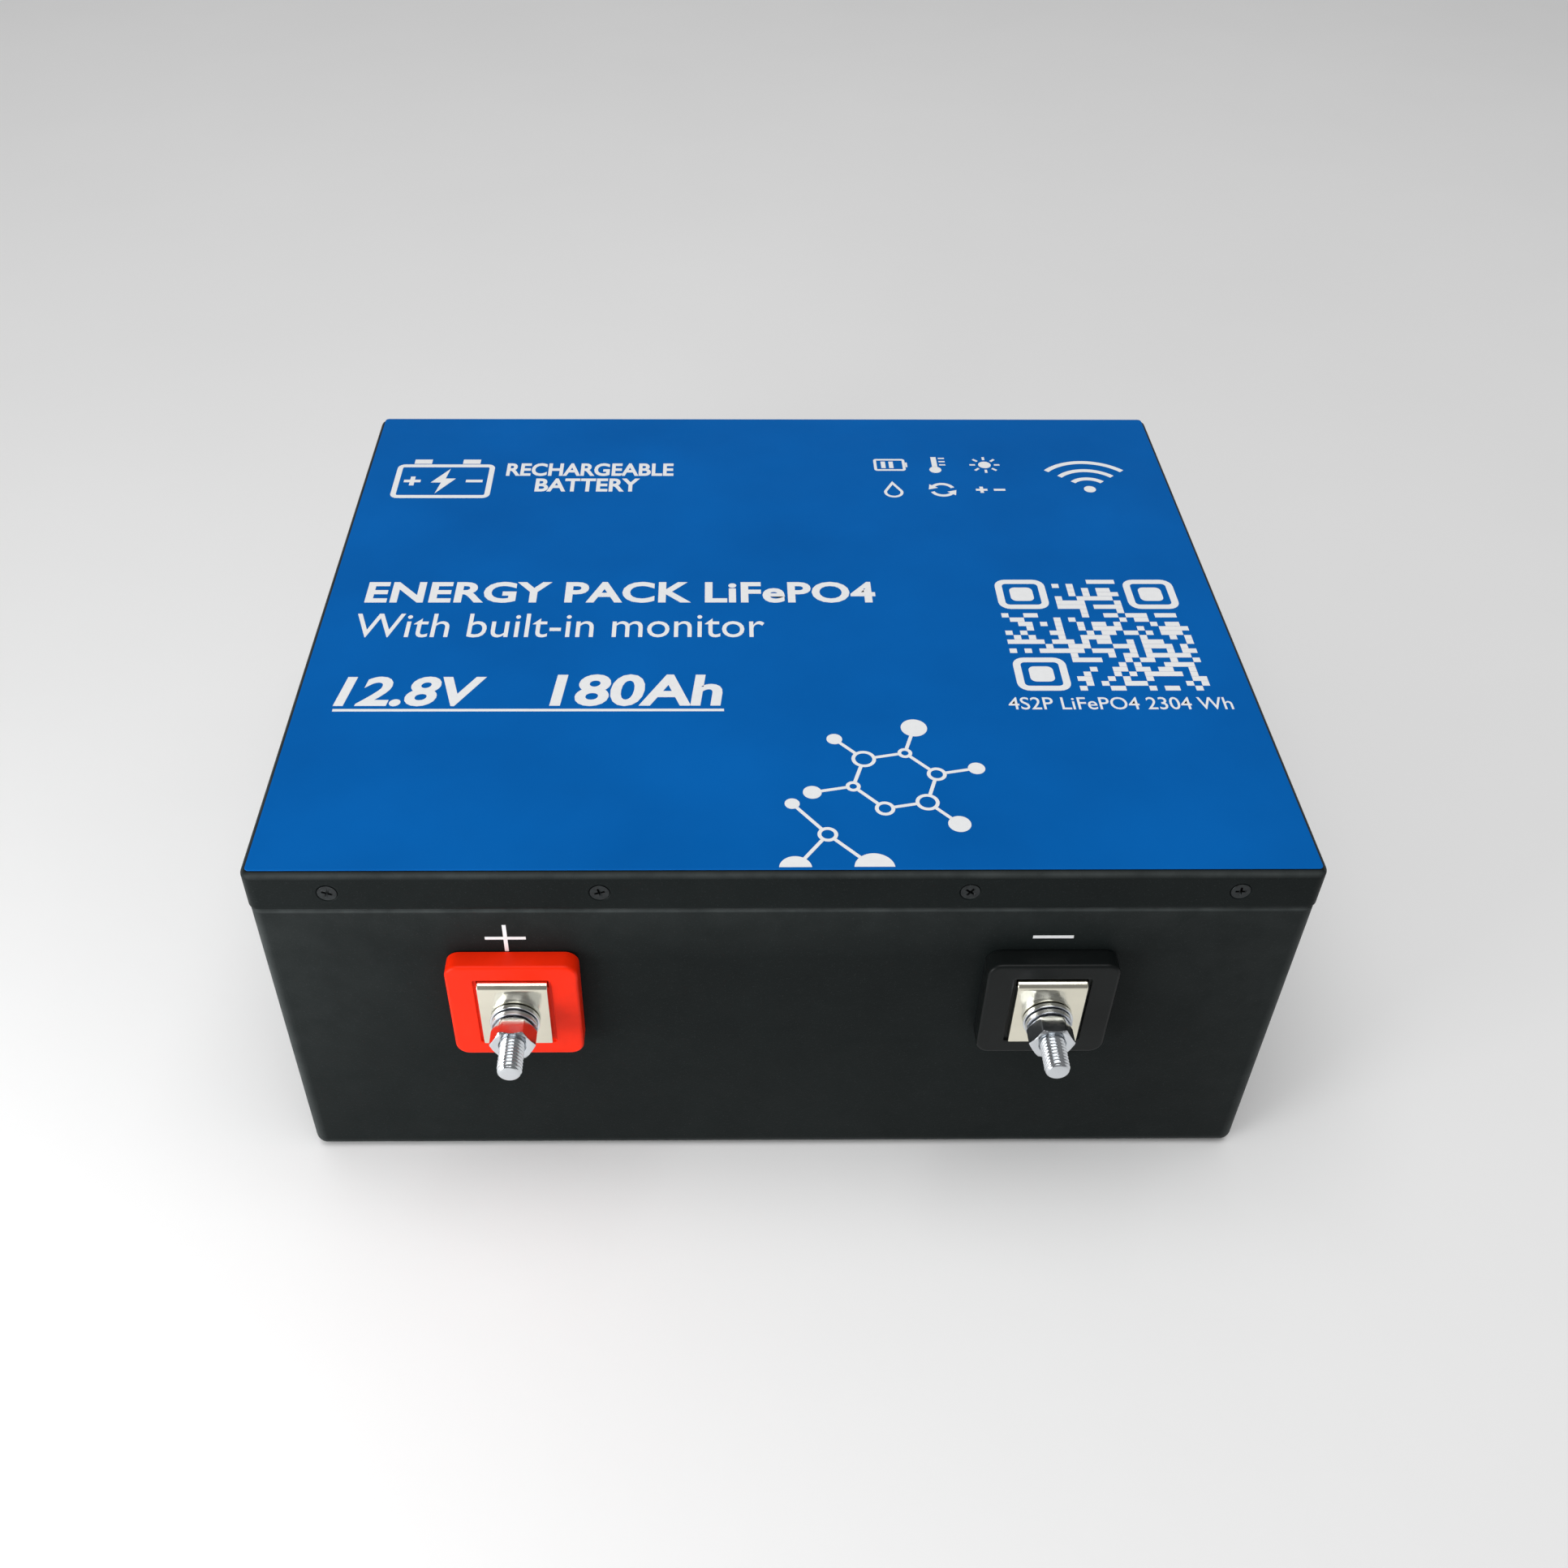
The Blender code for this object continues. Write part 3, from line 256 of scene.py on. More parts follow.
def rectangle_ring(half_u, half_v, radius, centre=(0.0, 0.0), arc_points=ARC_POINTS):
    """Points round a rectangle with arc corners, counter-clockwise, as an array (n, 2).

    A corner point is the arc's centre plus radius (cos a, sin a), for a through 90 degrees, with
    one point before and one after it on the straight sides.
    """
    a = np.linspace(0, np.pi / 2, arc_points)
    step = min(0.8 * MM, 0.3 * (min(half_u, half_v) - radius)) + 1e-6
    x = np.concatenate([[radius], radius * np.cos(a), [-step]])
    y = np.concatenate([[-step], radius * np.sin(a), [radius]])
    quarter = np.arange(4)[:, None] * np.pi / 2
    sign_u = np.array([1, -1, -1, 1])[:, None]
    sign_v = np.array([1, 1, -1, -1])[:, None]
    u = sign_u * (half_u - radius) + x * np.cos(quarter) - y * np.sin(quarter)
    v = sign_v * (half_v - radius) + x * np.sin(quarter) + y * np.cos(quarter)
    return np.stack([u.ravel() + centre[0], v.ravel() + centre[1]], axis=-1)


def turn_angles(count):
    """Angles of count points evenly round a full turn, from zero."""
    return np.arange(count) / count * 2 * np.pi


def ways(angle):
    """The unit directions (cos a, sin a) of an array of angles."""
    return np.stack([np.cos(angle), np.sin(angle)], axis=-1)


def circle_ring(radius, arc_points=ARC_POINTS):
    """A circle with as many points as rectangle_ring, starting at the same side."""
    count = 4 * (arc_points + 2)
    return radius * ways((np.arange(count) + 0.5) / count * 2 * np.pi)


def stacked(rings, heights):
    """Rings of (n, 2) points at their heights, as one grid (rows, n, 3)."""
    return np.stack([np.column_stack([ring, np.full(len(ring), height)])
                     for ring, height in zip(rings, heights)])


def prism(outline, low, high):
    """An outline (n, 2) carried straight from one height to another and closed at both ends."""
    outline = np.asarray(outline, float)
    return grid_surface(stacked([outline, outline], [low, high]))


def turned(profile, angle):
    """Rings (r cos a, r sin a, h), one row for each (r, h) of a profile in millimetres."""
    radius, height = np.hsplit(np.asarray(profile, float) * MM, 2)
    return revolved(radius, height, angle)


def revolved(radius, height, angle):
    """The rings (r cos a, r sin a, h), where r and h are columns or whole arrays."""
    return np.stack([radius * np.cos(angle), radius * np.sin(angle), height + 0 * angle], axis=-1)


def quarter_arc(steps):
    """(1 - sin t, 1 - cos t) for t from 0 to 90 degrees: the inset and the rise of a fillet."""
    t = np.linspace(0, np.pi / 2, steps)
    return np.stack([1 - np.sin(t), 1 - np.cos(t)], axis=-1)


def cylinder(radius, low, high, top_radius=None):
    """A drum or a cone along local Z."""
    rings = [circle_ring(radius), circle_ring(radius if top_radius is None else top_radius)]
    return grid_surface(stacked(rings, [low, high]))


def facing_front(surface, x=0.0, y=0.0, z=0.0):
    """Local (u, v, w) set at (x, y, z) on the front wall: u right, v up, w out of the wall."""
    points, faces = surface
    u, v, w = points.T
    return np.stack([x + u, y - w, z + v], axis=-1), faces


# %% [markdown]
# ## Finishes
# A real finish is never one flat colour. Each material here starts from one recipe: a soft
# mottle in the colour, a finer variation in the gloss, and a fine bump for the grain. All three
# are noise on object coordinates, so they stay still on the piece in every view. Numbers that are
# the same all over the surface sit on the shader's own sockets.

# %% Colours
def paint(red, green, blue):
    """Display values from 0 to 255 as the linear colour that a shader takes."""
    shown = np.array((red, green, blue)) / 255
    linear = np.where(shown <= 0.04045, shown / 12.92, ((shown + 0.055) / 1.055) ** 2.4)
    return (*linear.tolist(), 1.0)


def scaled(colour, factor):
    """A colour made lighter or darker, never above 1."""
    return (*[min(1.0, c * factor) for c in colour[:3]], 1.0)


# %% [markdown]
# ### Nodes
# A node's input either holds a value or is linked to another node's output. The class below hides
# that difference in one line, so a finish reads as a list of what is mixed with what.

# %% The nodes of a finish
class Finish:
    """A Principled material and the few nodes that this file keeps adding to it."""

    def __init__(self, name, colour, metallic, roughness):
        self.material = bpy.data.materials.new(name)
        self.material.use_nodes = True
        self.tree = self.material.node_tree
        self.shader = self.tree.nodes["Principled BSDF"]
        self.fill(self.shader, {"Base Color": colour, "Metallic": metallic, "Roughness": roughness})
        self.place = self.node("TexCoord").outputs["Object"]

    def fill(self, node, inputs):
        """Sets each input of a node to a value, or links it where an output is given."""
        for name, value in inputs.items():
            if isinstance(value, bpy.types.NodeSocket):
                self.tree.links.new(value, node.inputs[name])
            else:
                node.inputs[name].default_value = value

    def node(self, kind, inputs=None, **settings):
        """A new node with its settings made and its inputs filled."""
        node = self.tree.nodes.new("ShaderNode" + kind)
        for name, value in settings.items():
            setattr(node, name, value)
        self.fill(node, inputs or {})
        return node

    def set(self, name, value):
        """One socket of the shader itself."""
        self.fill(self.shader, {name: value})

    def stretched(self, scale):
        """Object coordinates, scaled along each axis."""
        return self.node("Mapping", {"Scale": scale, "Vector": self.place}).outputs["Vector"]

    def noise(self, scale, detail=3.0, rough=0.55, vector=None):
        return self.node("TexNoise", {"Scale": scale, "Detail": detail, "Roughness": rough,
                                      "Vector": vector or self.place}).outputs["Fac"]

    def ramp(self, factor, start, first, end, last):
        """The first colour up to the start, the last colour from the end, blended between."""
        node = self.node("ValToRGB", {"Fac": factor})
        for element, at, colour in zip(node.color_ramp.elements, (start, end), (first, last)):
            element.position = at
            element.color = colour
        return node.outputs["Color"]

    def mix(self, factor, first, second):
        return self.node("Mix", {0: factor, 6: first, 7: second}, data_type="RGBA").outputs[2]

    def product(self, first, second):
        return self.node("Math", {0: first, 1: second}, operation="MULTIPLY").outputs["Value"]

    def spread(self, factor, low, high, start=0.3, end=0.7):
        """The factor's range from start to end, stretched to run from low to high."""
        return self.node("MapRange", {"From Min": start, "From Max": end, "To Min": low,
                                      "To Max": high, "Value": factor}).outputs["Result"]

    def cloud(self, factor, dark, light, start=0.3, end=0.7):
        """A base colour that drifts between two."""
        self.set("Base Color", self.ramp(factor, start, dark, end, light))

    def gloss(self, scale, low, high, detail=3.0):
        """A roughness that drifts between two."""
        self.set("Roughness", self.spread(self.noise(scale, detail), low, high))

    def bump(self, height, distance, strength=1.0):
        """A bump on top of the ones already there."""
        inputs = {"Distance": distance, "Strength": strength, "Height": height}
        for before in self.shader.inputs["Normal"].links:
            inputs["Normal"] = before.from_socket
        self.set("Normal", self.node("Bump", inputs).outputs["Normal"])


def basic_finish(name, colour, metallic, roughness, mottle=0.08, patch=60.0, gloss=0.06,
                 grain=900.0, depth=0.00002):
    """The recipe: colour times 1 -/+ mottle, roughness -/+ gloss, and a bump of depth metres."""
    finish = Finish(name, colour, metallic, roughness)
    finish.cloud(finish.noise(patch), scaled(colour, 1 - mottle), scaled(colour, 1 + mottle))
    finish.gloss(patch * 3.7, roughness - gloss, roughness + gloss)
    finish.bump(finish.noise(grain, detail=2.0), depth)
    return finish


# %% [markdown]
# ## Floor and light
# The studio is a pale floor that runs out of sight. One big soft light hangs overhead, a little to
# the front; a small one stands low and near on the left, so the front wall falls off from left to
# right; a weak one fills the right; and a sky of even white lifts the shadows.

# %% Floor and lights
FLOOR_REACH = 12.0
FLOOR_STEPS = 9
FLOOR_GAP = 0.2 * MM
SKY_STRENGTH = 0.24


def floor_surface():
    """A flat grid: x and y run from -reach to reach, z is zero."""
    x, y = np.meshgrid(*[np.linspace(-FLOOR_REACH, FLOOR_REACH, FLOOR_STEPS)] * 2)
    return grid_surface(np.stack([x, y, 0 * x], axis=-1), ends="open", round_about=False)


floor_finish = basic_finish("pale_floor", (0.93, 0.93, 0.93, 1.0), 0.0, 0.6, mottle=0.01,
                            patch=3.0, gloss=0.03, grain=40.0, depth=0.0001)
floor_points, floor_faces = floor_surface()
floor_mesh = bpy.data.meshes.new("studio_floor")
floor_mesh.from_pydata(floor_points.tolist(), [], floor_faces)
floor_mesh.materials.append(floor_finish.material)
studio_floor = new_object("studio_floor", floor_mesh)
studio_floor.location.z = cad_box[0].z - FLOOR_GAP


def soft_light(name, place, aim, size, power):
    """A square area light at a place, turned so that its face looks at the aim."""
    light = bpy.data.lights.new(name, "AREA")
    light.shape = "SQUARE"
    light.size = size
    light.energy = power
    holder = new_object(name, light)
    holder.location = place
    holder.rotation_euler = (Vector(aim) - Vector(place)).to_track_quat("-Z", "Y").to_euler()


soft_light("left_softbox", (-0.54, -0.52, 0.17), (-0.05, -0.14, 0.05), 0.30, 2.8)
soft_light("top_softbox", (-0.17, -0.5, 3.0), (0.0, 0.0, 0.0), 2.7, 64.0)
soft_light("right_fill", (1.2, -0.6, 0.9), (0.0, 0.0, 0.1), 0.6, 0.15)
world = bpy.data.worlds.new("white_sky")
world.use_nodes = True
sky = world.node_tree.nodes["Background"]
sky.inputs["Color"].default_value = (1.0, 1.0, 1.0, 1.0)
sky.inputs["Strength"].default_value = SKY_STRENGTH
SCENE.world = world
SCENE.view_settings.view_transform = "Standard"
print("floor, three soft lights and an even sky")

# %% [markdown]
# ## Steel case
# The tub is one folded sheet. Near the top its walls step in by a sheet's thickness, so that the
# lid's flange comes flush with them. The powder coat is a dark grey plastic skin with a fine
# pebbled grain. Round its edges and along the step the colour is made lighter: partly paint worn
# thin, partly a painted highlight for the light those edges catch. An attribute that grows towards
# the edges and the step tells the material where they are.

# %% Powder coat
SHEET = 1.2 * MM
CORNER = 4.0 * MM
BASE_FILLET = 5.0 * MM
INNER_FILLET = 2.3 * MM
LID_FILLET = 2.0 * MM
LID_PROUD = 0.3 * MM
FIT = 0.3 * MM
COAT_GREY = paint(22, 27, 27)


def powder_coat():
    """Dark grey coat: pebbled bump, cloudy gloss, and edges lightened, partly as worn paint and
    partly as a painted highlight.
    """
    finish = Finish("powder_coat", COAT_GREY, 0.0, 0.5)
    finish.set("Specular IOR Level", 0.06)
    coat = finish.ramp(finish.noise(28.0, detail=4.0), 0.3, scaled(COAT_GREY, 0.9),
                       0.7, scaled(COAT_GREY, 1.1))
    speck = finish.ramp(finish.noise(2600.0, detail=1.0), 0.66, (0, 0, 0, 1), 0.74, (1, 1, 1, 1))
    coat = finish.mix(finish.product(speck, 0.12), coat, paint(90, 96, 96))
    # Painted highlight and worn paint: the coat goes towards a lighter grey on the edges and along
    # the step.
    wear_and_highlight = finish.node("Attribute", attribute_name="wear_and_highlight").outputs["Fac"]
    worn_and_lit = finish.product(wear_and_highlight, finish.spread(finish.noise(120.0), 0.55, 1.0))
    coat = finish.mix(finish.product(worn_and_lit, 0.8), coat, paint(80, 85, 85))
    finish.set("Base Color", coat)
    finish.gloss(90.0, 0.46, 0.56)
    finish.bump(finish.noise(1100.0, detail=3.0, rough=0.6), 0.00005)
    return finish


COAT = powder_coat()


def mark_wear_and_highlight(mesh, low, high, reach, fold=None):
    """Adds the attribute for worn paint and painted highlight: near two walls at once, min over the
    two of their closeness.

    Closeness to a wall is 1 at the wall and 0 one reach inside it; the second largest of the three
    axes' values is 0.71 in the middle of a round edge and 0 on a flat wall. A fold is the height
    of a folded line, round which a painted highlight line is 1 and fades over a millimetre.
    """
    points = positions(mesh)
    distance = np.minimum(np.abs(points - np.array(low)), np.abs(points - np.array(high)))
    closeness = np.sort(np.clip(1 - distance / reach, 0, 1), axis=1)[:, 1]
    if fold is not None:
        closeness = np.maximum(closeness, np.clip(1.6 - np.abs(points[:, 2] - fold) / MM, 0, 1))
    attribute = mesh.attributes.new("wear_and_highlight", "FLOAT", "POINT")
    attribute.data.foreach_set("value", closeness.astype(np.float32))


# %% [markdown]
# ### The tub
# The wall could be an open surface with a Solidify modifier, but then the fold lines would have to
# be sharp. Here one closed profile runs from the underside up the outer wall, over the step and the
# rim, and down the inner wall, and a rounded rectangle is carried along it.

# %% Tub
tub_low, tub_high = node_box("case_tub")
lid_low, lid_high = node_box("case_lid")
SHOULDER = lid_low[2] - FIT - 1.1 * MM
STEP_IN = SHEET + FIT - LID_PROUD
LEAST_CORNER = 0.25 * MM


def walled(low, high, corner, profile):
    """Rounded rectangles for (inset, height) pairs; a ring's corner shrinks with its inset."""
    half = (high - low) / 2
    rings = [rectangle_ring(half[0] - inset, half[1] - inset, max(corner - inset, LEAST_CORNER))
             for inset, _ in profile]
    return grid_surface(stacked(rings, [height for _, height in profile]))


def from_height(height, pairs):
    """(inset, rise) pairs in millimetres as (inset, height) in metres, above a height."""
    return [(inset * MM, height + rise * MM) for inset, rise in pairs]


def tub_profile():
    """(inset, height) from the underside's edge, up outside, over the rim and down inside."""
    step, sheet, rim = STEP_IN / MM, SHEET / MM, tub_high[2]
    outer = [(BASE_FILLET * a, BASE_FILLET * b) for a, b in quarter_arc(9)]
    inner = [(SHEET + INNER_FILLET * a, SHEET + INNER_FILLET * b) for a, b in quarter_arc(7)]
    up = from_height(BASE_FILLET, [(0, 0.8)])
    up += from_height(SHOULDER, [(0, -0.8), (0, -0.15), (0.1, 0.1), (0.6, 0.6), (step - 0.1, 1.1),
                                 (step, 1.4), (step, 2.2)])
    over = from_height(rim, [(step, -0.4), (step + 0.12, -0.1), (step + 0.35, 0),
                             (step + sheet - 0.35, 0), (step + sheet - 0.12, -0.1),
                             (step + sheet, -0.4)])
    down = from_height(SHOULDER, [(step + sheet, 0), (sheet + 0.15, -0.7), (sheet, -1.0)])
    down += from_height(SHEET + INNER_FILLET, [(sheet, 0.8)])
    return outer + up + over + down + inner[::-1]


def screw_seats():
    """The outer spot and the way out of each lid screw, from its CAD node's box."""
    for node in sorted(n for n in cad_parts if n.startswith("lid_screw")):
        low, high = node_box(node)
        centre = (low + high) / 2
        axis = 0 if abs(centre[0]) > lid_high[0] - 10 * MM else 1
        out = np.zeros(3)
        out[axis] = math.copysign(1.0, centre[axis])
        spot = centre.copy()
        spot[axis] = high[axis] if out[axis] > 0 else low[axis]
        yield node, spot, out


def placed(surface, spot, out):
    """A local surface, whose +Z points out of a wall, set at its spot on that wall."""
    turn = Vector(out).to_track_quat("Z", "Y").to_matrix()
    points, faces = surface
    return points @ np.array(turn).T + np.array(spot), faces


# %% [markdown]
# The front wall has a window behind each terminal block, and a hole behind each lid screw. They
# are cut last, when the wall is whole.

# %% Holes and windows of the tub
HEAD_RADIUS = 3.0 * MM
SHANK_RADIUS = 1.45 * MM
SPIGOT = np.array((31.0, 34.0)) * MM
terminal_x = [middle(node)[0] for node in ("positive_stud", "negative_stud")]
block_z = middle("positive_insulator")[2]
tub_mesh = mesh_of("case_tub_shell", walled(tub_low, tub_high, CORNER, tub_profile()))
screw_hole = cylinder(SHANK_RADIUS + FIT, -6 * MM, -0.8 * MM)
holes = [placed(screw_hole, spot, out) for _, spot, out in screw_seats()]
window = prism(rectangle_ring(*(SPIGOT / 2 + FIT), 2.3 * MM), -5 * MM, 3 * MM)
windows = [facing_front(window, x, tub_low[1], block_z) for x in terminal_x]
tub_mesh = cut(tub_mesh, holes + windows)
# The step's fold gets a painted highlight line; the edges get lighter worn paint and painted
# highlight.
mark_wear_and_highlight(tub_mesh, tub_low, tub_high, BASE_FILLET, fold=SHOULDER + 0.6 * MM)
add_piece("case_tub_shell", tub_mesh, COAT, "case_paint", stands_for=("case_tub",))

# %% [markdown]
# ### The lid
# The lid is a shallow tray turned over the tub. Its flange carries twelve countersunk holes, cut
# here with cones of the screws' own angle.

# %% Lid
SINK_ROOM = 0.7 * MM


def lid_profile():
    """(inset, height) from the inner ceiling down, round the flange's edge and up outside."""
    low, top, sheet = lid_low[2], lid_high[2], SHEET / MM
    inner_fillet = LID_FILLET - SHEET
    inside = [(SHEET + inner_fillet * a, top - SHEET - inner_fillet * b) for a, b in quarter_arc(5)]
    outside = [(LID_FILLET * a, top - LID_FILLET * b) for a, b in quarter_arc(9)]
    edge = from_height(top - LID_FILLET, [(sheet, -0.8)])
    edge += from_height(low, [(sheet, 0.8), (sheet, 0.15), (sheet - 0.15, 0), (0.2, 0),
                              (0.06, 0.06), (0, 0.2), (0, 1.0)])
    edge += from_height(top - LID_FILLET, [(0, -0.8)])
    return inside + edge + outside[::-1]


lid_mesh = mesh_of("case_lid_shell", walled(lid_low, lid_high, CORNER, lid_profile()))
screw_sink = cylinder(SHANK_RADIUS + FIT, -SHEET - 0.2 * MM, 0.2 * MM, HEAD_RADIUS + SINK_ROOM)
lid_mesh = cut(lid_mesh, [placed(screw_sink, spot, out) for _, spot, out in screw_seats()])
# The lid's top edges and corners get lighter worn paint and painted highlight.
mark_wear_and_highlight(lid_mesh, (lid_low[0], lid_low[1], -1.0), lid_high, LID_FILLET)
add_piece("case_lid_shell", lid_mesh, COAT, "case_paint", stands_for=("case_lid",))

# %% [markdown]
# ### Lid screws
# An M3 countersunk screw is a cone, a threaded shank and a cross recess. The thread is part of the
# same grid: the radius falls by a V for every pitch of the helix. The recess has two tapered
# blades, which a boolean cuts out of one master screw; each of the twelve is that mesh, turned to
# its wall.

# %% Thread
def thread_depth(angle, height, pitch, depth):
    """Depth of a V thread: depth x a clipped triangle wave of height / pitch - angle / 360."""
    phase = (height / pitch - angle / (2 * np.pi)) % 1.0
    wave = 1 - np.abs(2 * phase - 1)
    return depth * np.clip(1.3 * wave - 0.15, 0, 1)


def threaded_rod(limit, low, high, pitch, depth, rows_per_turn, angle):
    """A threaded rod along Z, as a grid: radius = limit(z) less the thread's depth there.

    Limit is a function of the heights that gives the outer radius; the thread fades where the
    limit is already inside its root.
    """
    z = np.linspace(low, high, int(round((high - low) / pitch * rows_per_turn)) + 1)[:, None]
    crest = limit((low + high) / 2)
    return revolved(np.minimum(limit(z), crest - thread_depth(angle, z, pitch, depth)), z, angle)


# %% Screws
SCREW_LENGTH = 6.0 * MM
SCREW_PITCH = 0.5 * MM
SCREW_THREAD = 0.24 * MM


def screw_surface():
    """Tip, threaded shank, cone and a faintly crowned head, as one closed grid."""
    def limit(z):
        return np.clip((z + SCREW_LENGTH) * 1.1 + 0.7 * MM, 0, SHANK_RADIUS)
    angle = turn_angles(40)
    shank = threaded_rod(limit, -SCREW_LENGTH, -1.75 * MM, SCREW_PITCH, SCREW_THREAD, 6, angle)
    head = turned([(1.45, -1.6), (1.45, -1.25), (2.94, -0.12), (3.0, -0.05), (2.97, -0.01),
                   (2.88, 0.0), (2.4, 0.0), (1.2, 0.0)], angle)
    return grid_surface(np.concatenate([shank, head]))


def recess_blade(turned_by):
    """A tapered blade: a rectangle that narrows from the head's face down to the recess's floor."""
    rings = [rectangle_ring(u * MM, v * MM, 0.1 * MM, arc_points=3)
             for u, v in ((1.0, 0.24), (1.72, 0.38), (1.80, 0.42))]
    points, faces = grid_surface(stacked(rings, [-1.05 * MM, 0.0, 0.1 * MM]))
    c, s = math.cos(turned_by), math.sin(turned_by)
    return points @ np.array([[c, s, 0], [-s, c, 0], [0, 0, 1]]), faces


BLACK_STEEL = basic_finish("black_oxide_steel", paint(50, 53, 54), 0.9, 0.36, mottle=0.2,
                           patch=700.0, gloss=0.08, grain=4000.0, depth=0.00001)
screw_mesh = cut(mesh_of("screw_blank", screw_surface()),
                 [recess_blade(turned_by) for turned_by in (0.0, math.pi / 2)])
blank = positions(screw_mesh)
for number, (node, spot, out) in enumerate(screw_seats()):
    twist = Matrix.Rotation(math.radians(37 * number + 12), 3, "Z")
    points, _ = placed((blank @ np.array(twist).T, None), spot, out)
    copy = screw_mesh.copy()
    copy.name = node + "_steel"
    copy.vertices.foreach_set("co", points.ravel())
    add_piece(node + "_steel", copy, BLACK_STEEL, "screw_black", stands_for=(node,))

# %% [markdown]
# ## Printed label
# A blue film covers the lid's top. It is 0.25 mm thick with soft cut edges, and the blue is nearly
# even: a very faint mottle and the slight ripple of a film laid by hand.

# %% Label film
FILM_CORNER = 1.5 * MM


def blue_film():
    """Blue with a faint cloud, a satin gloss, and two ripples: a long one and a fine one."""
    finish = Finish("blue_label_film", paint(0, 97, 178), 0.0, 0.42)
    finish.set("Specular IOR Level", 0.05)
    finish.cloud(finish.noise(14.0, detail=4.0), paint(0, 93, 172), paint(2, 101, 184))
    finish.gloss(60.0, 0.38, 0.48)
    finish.bump(finish.noise(9.0, detail=1.0), 0.0006, strength=0.25)
    finish.bump(finish.noise(1500.0, detail=2.0), 0.00001)
    return finish


FILM = blue_film()
film_low, film_high = node_box("top_label")
film_rows = [(0.0, film_low[2])]
film_rows += from_height(film_high[2], [(0, -0.12), (0.04, -0.03), (0.12, 0), (0.8, 0)])
add_piece("label_film", walled(film_low, film_high, FILM_CORNER, film_rows), FILM, "label_film",
          stands_for=("top_label",))

# %% [markdown]
# ### White print
# Print is ink with a real thickness, so each mark is a thin closed plate on the film. A plate has
# an outline of its own: a disc, a bar, a ring, a polygon or a letter. All the words here are
# generic: a rating and the name of the kind of battery.

# %% Ink and flat shapes
INK_LOW = film_high[2] + 0.01 * MM
INK_HIGH = film_high[2] + 0.07 * MM
INK = basic_finish("white_ink", paint(246, 247, 248), 0.0, 0.45, mottle=0.02, patch=400.0,
                   gloss=0.05, grain=2500.0, depth=0.00001)


def plate(outline):
    """A closed outline (n, 2) as a plate of ink."""
    return prism(outline, INK_LOW, INK_HIGH)


def hollow_plate(outer, inner):
    """The band between two outlines of as many points, as a closed ring of four rows."""
    heights = [INK_LOW, INK_HIGH, INK_HIGH, INK_LOW]
    return grid_surface(stacked([outer, outer, inner, inner], heights), ends="looped")


def disc(x, y, radius):
    return plate((x, y) + radius * ways(turn_angles(48)))


def circle_band(x, y, radius, width):
    way = ways(turn_angles(56))
    return hollow_plate((x, y) + (radius + width / 2) * way, (x, y) + (radius - width / 2) * way)


def bar(start, end, width):
    """A straight stroke: the two ends moved sideways by half the width each way."""
    start, end = np.array(start, float), np.array(end, float)
    along = (end - start) / np.linalg.norm(end - start)
    side = np.array((-along[1], along[0])) * width / 2
    return plate([start - side, end - side, end + side, start + side])


def arc_stroke(x, y, radius, width, first, last):
    """Part of a circle's band between two angles in degrees."""
    way = ways(np.radians(np.linspace(first, last, 24)))
    return plate(np.concatenate([(x, y) + (radius + width / 2) * way,
                                 (x, y) + (radius - width / 2) * way[::-1]]))


def frame_band(x, y, half_u, half_v, radius, width):
    """A rounded rectangle drawn as a line of a given width."""
    outer = rectangle_ring(half_u, half_v, radius, (x, y), arc_points=6)
    inner = rectangle_ring(half_u - width, half_v - width, max(radius - width, 0.1 * MM), (x, y),
                           arc_points=6)
    return hollow_plate(outer, inner)


def add_print(name, shape):
    """Ink on the label: a mesh, or several plates as one piece."""
    shape = joined(shape) if isinstance(shape, list) else shape
    return add_piece(name, shape, INK, "label_film", sharp=20.0)


# %% [markdown]
# ### Letters
# Blender's own font gives each word as a curve. The word is made a mesh, its doubles are merged,
# and its box is stretched to the place it takes on the label. A small offset makes it bold and a
# shear makes it slanted.

# %% Letters
def add_word(name, text, box, boldness=0.0, slant=0.0, spacing=1.0):
    """Text as a closed mesh whose box is left, right, low, high on the label, in millimetres."""
    curve = bpy.data.curves.new(name, "FONT")
    curve.body = text
    curve.offset = boldness
    curve.shear = slant
    curve.space_character = spacing
    curve.extrude = 0.1
    curve.resolution_u = 4
    holder = new_object(name, curve)
    graph = bpy.context.evaluated_depsgraph_get()
    mesh = bpy.data.meshes.new_from_object(holder.evaluated_get(graph))
    bpy.data.objects.remove(holder, do_unlink=True)
    work = bmesh.new()
    work.from_mesh(mesh)
    bmesh.ops.remove_doubles(work, verts=work.verts, dist=0.0002)
    work.to_mesh(mesh)
    work.free()
    left, right, low, high = np.array(box) * MM
    points = positions(mesh)
    share = (points - points.min(0)) / (points.max(0) - points.min(0))
    to_low = np.array((left, low, INK_LOW))
    to_high = np.array((right, high, INK_HIGH))
    mesh.vertices.foreach_set("co", (to_low + share * (to_high - to_low)).ravel())
    mesh.update()
    return add_print(name, mesh)


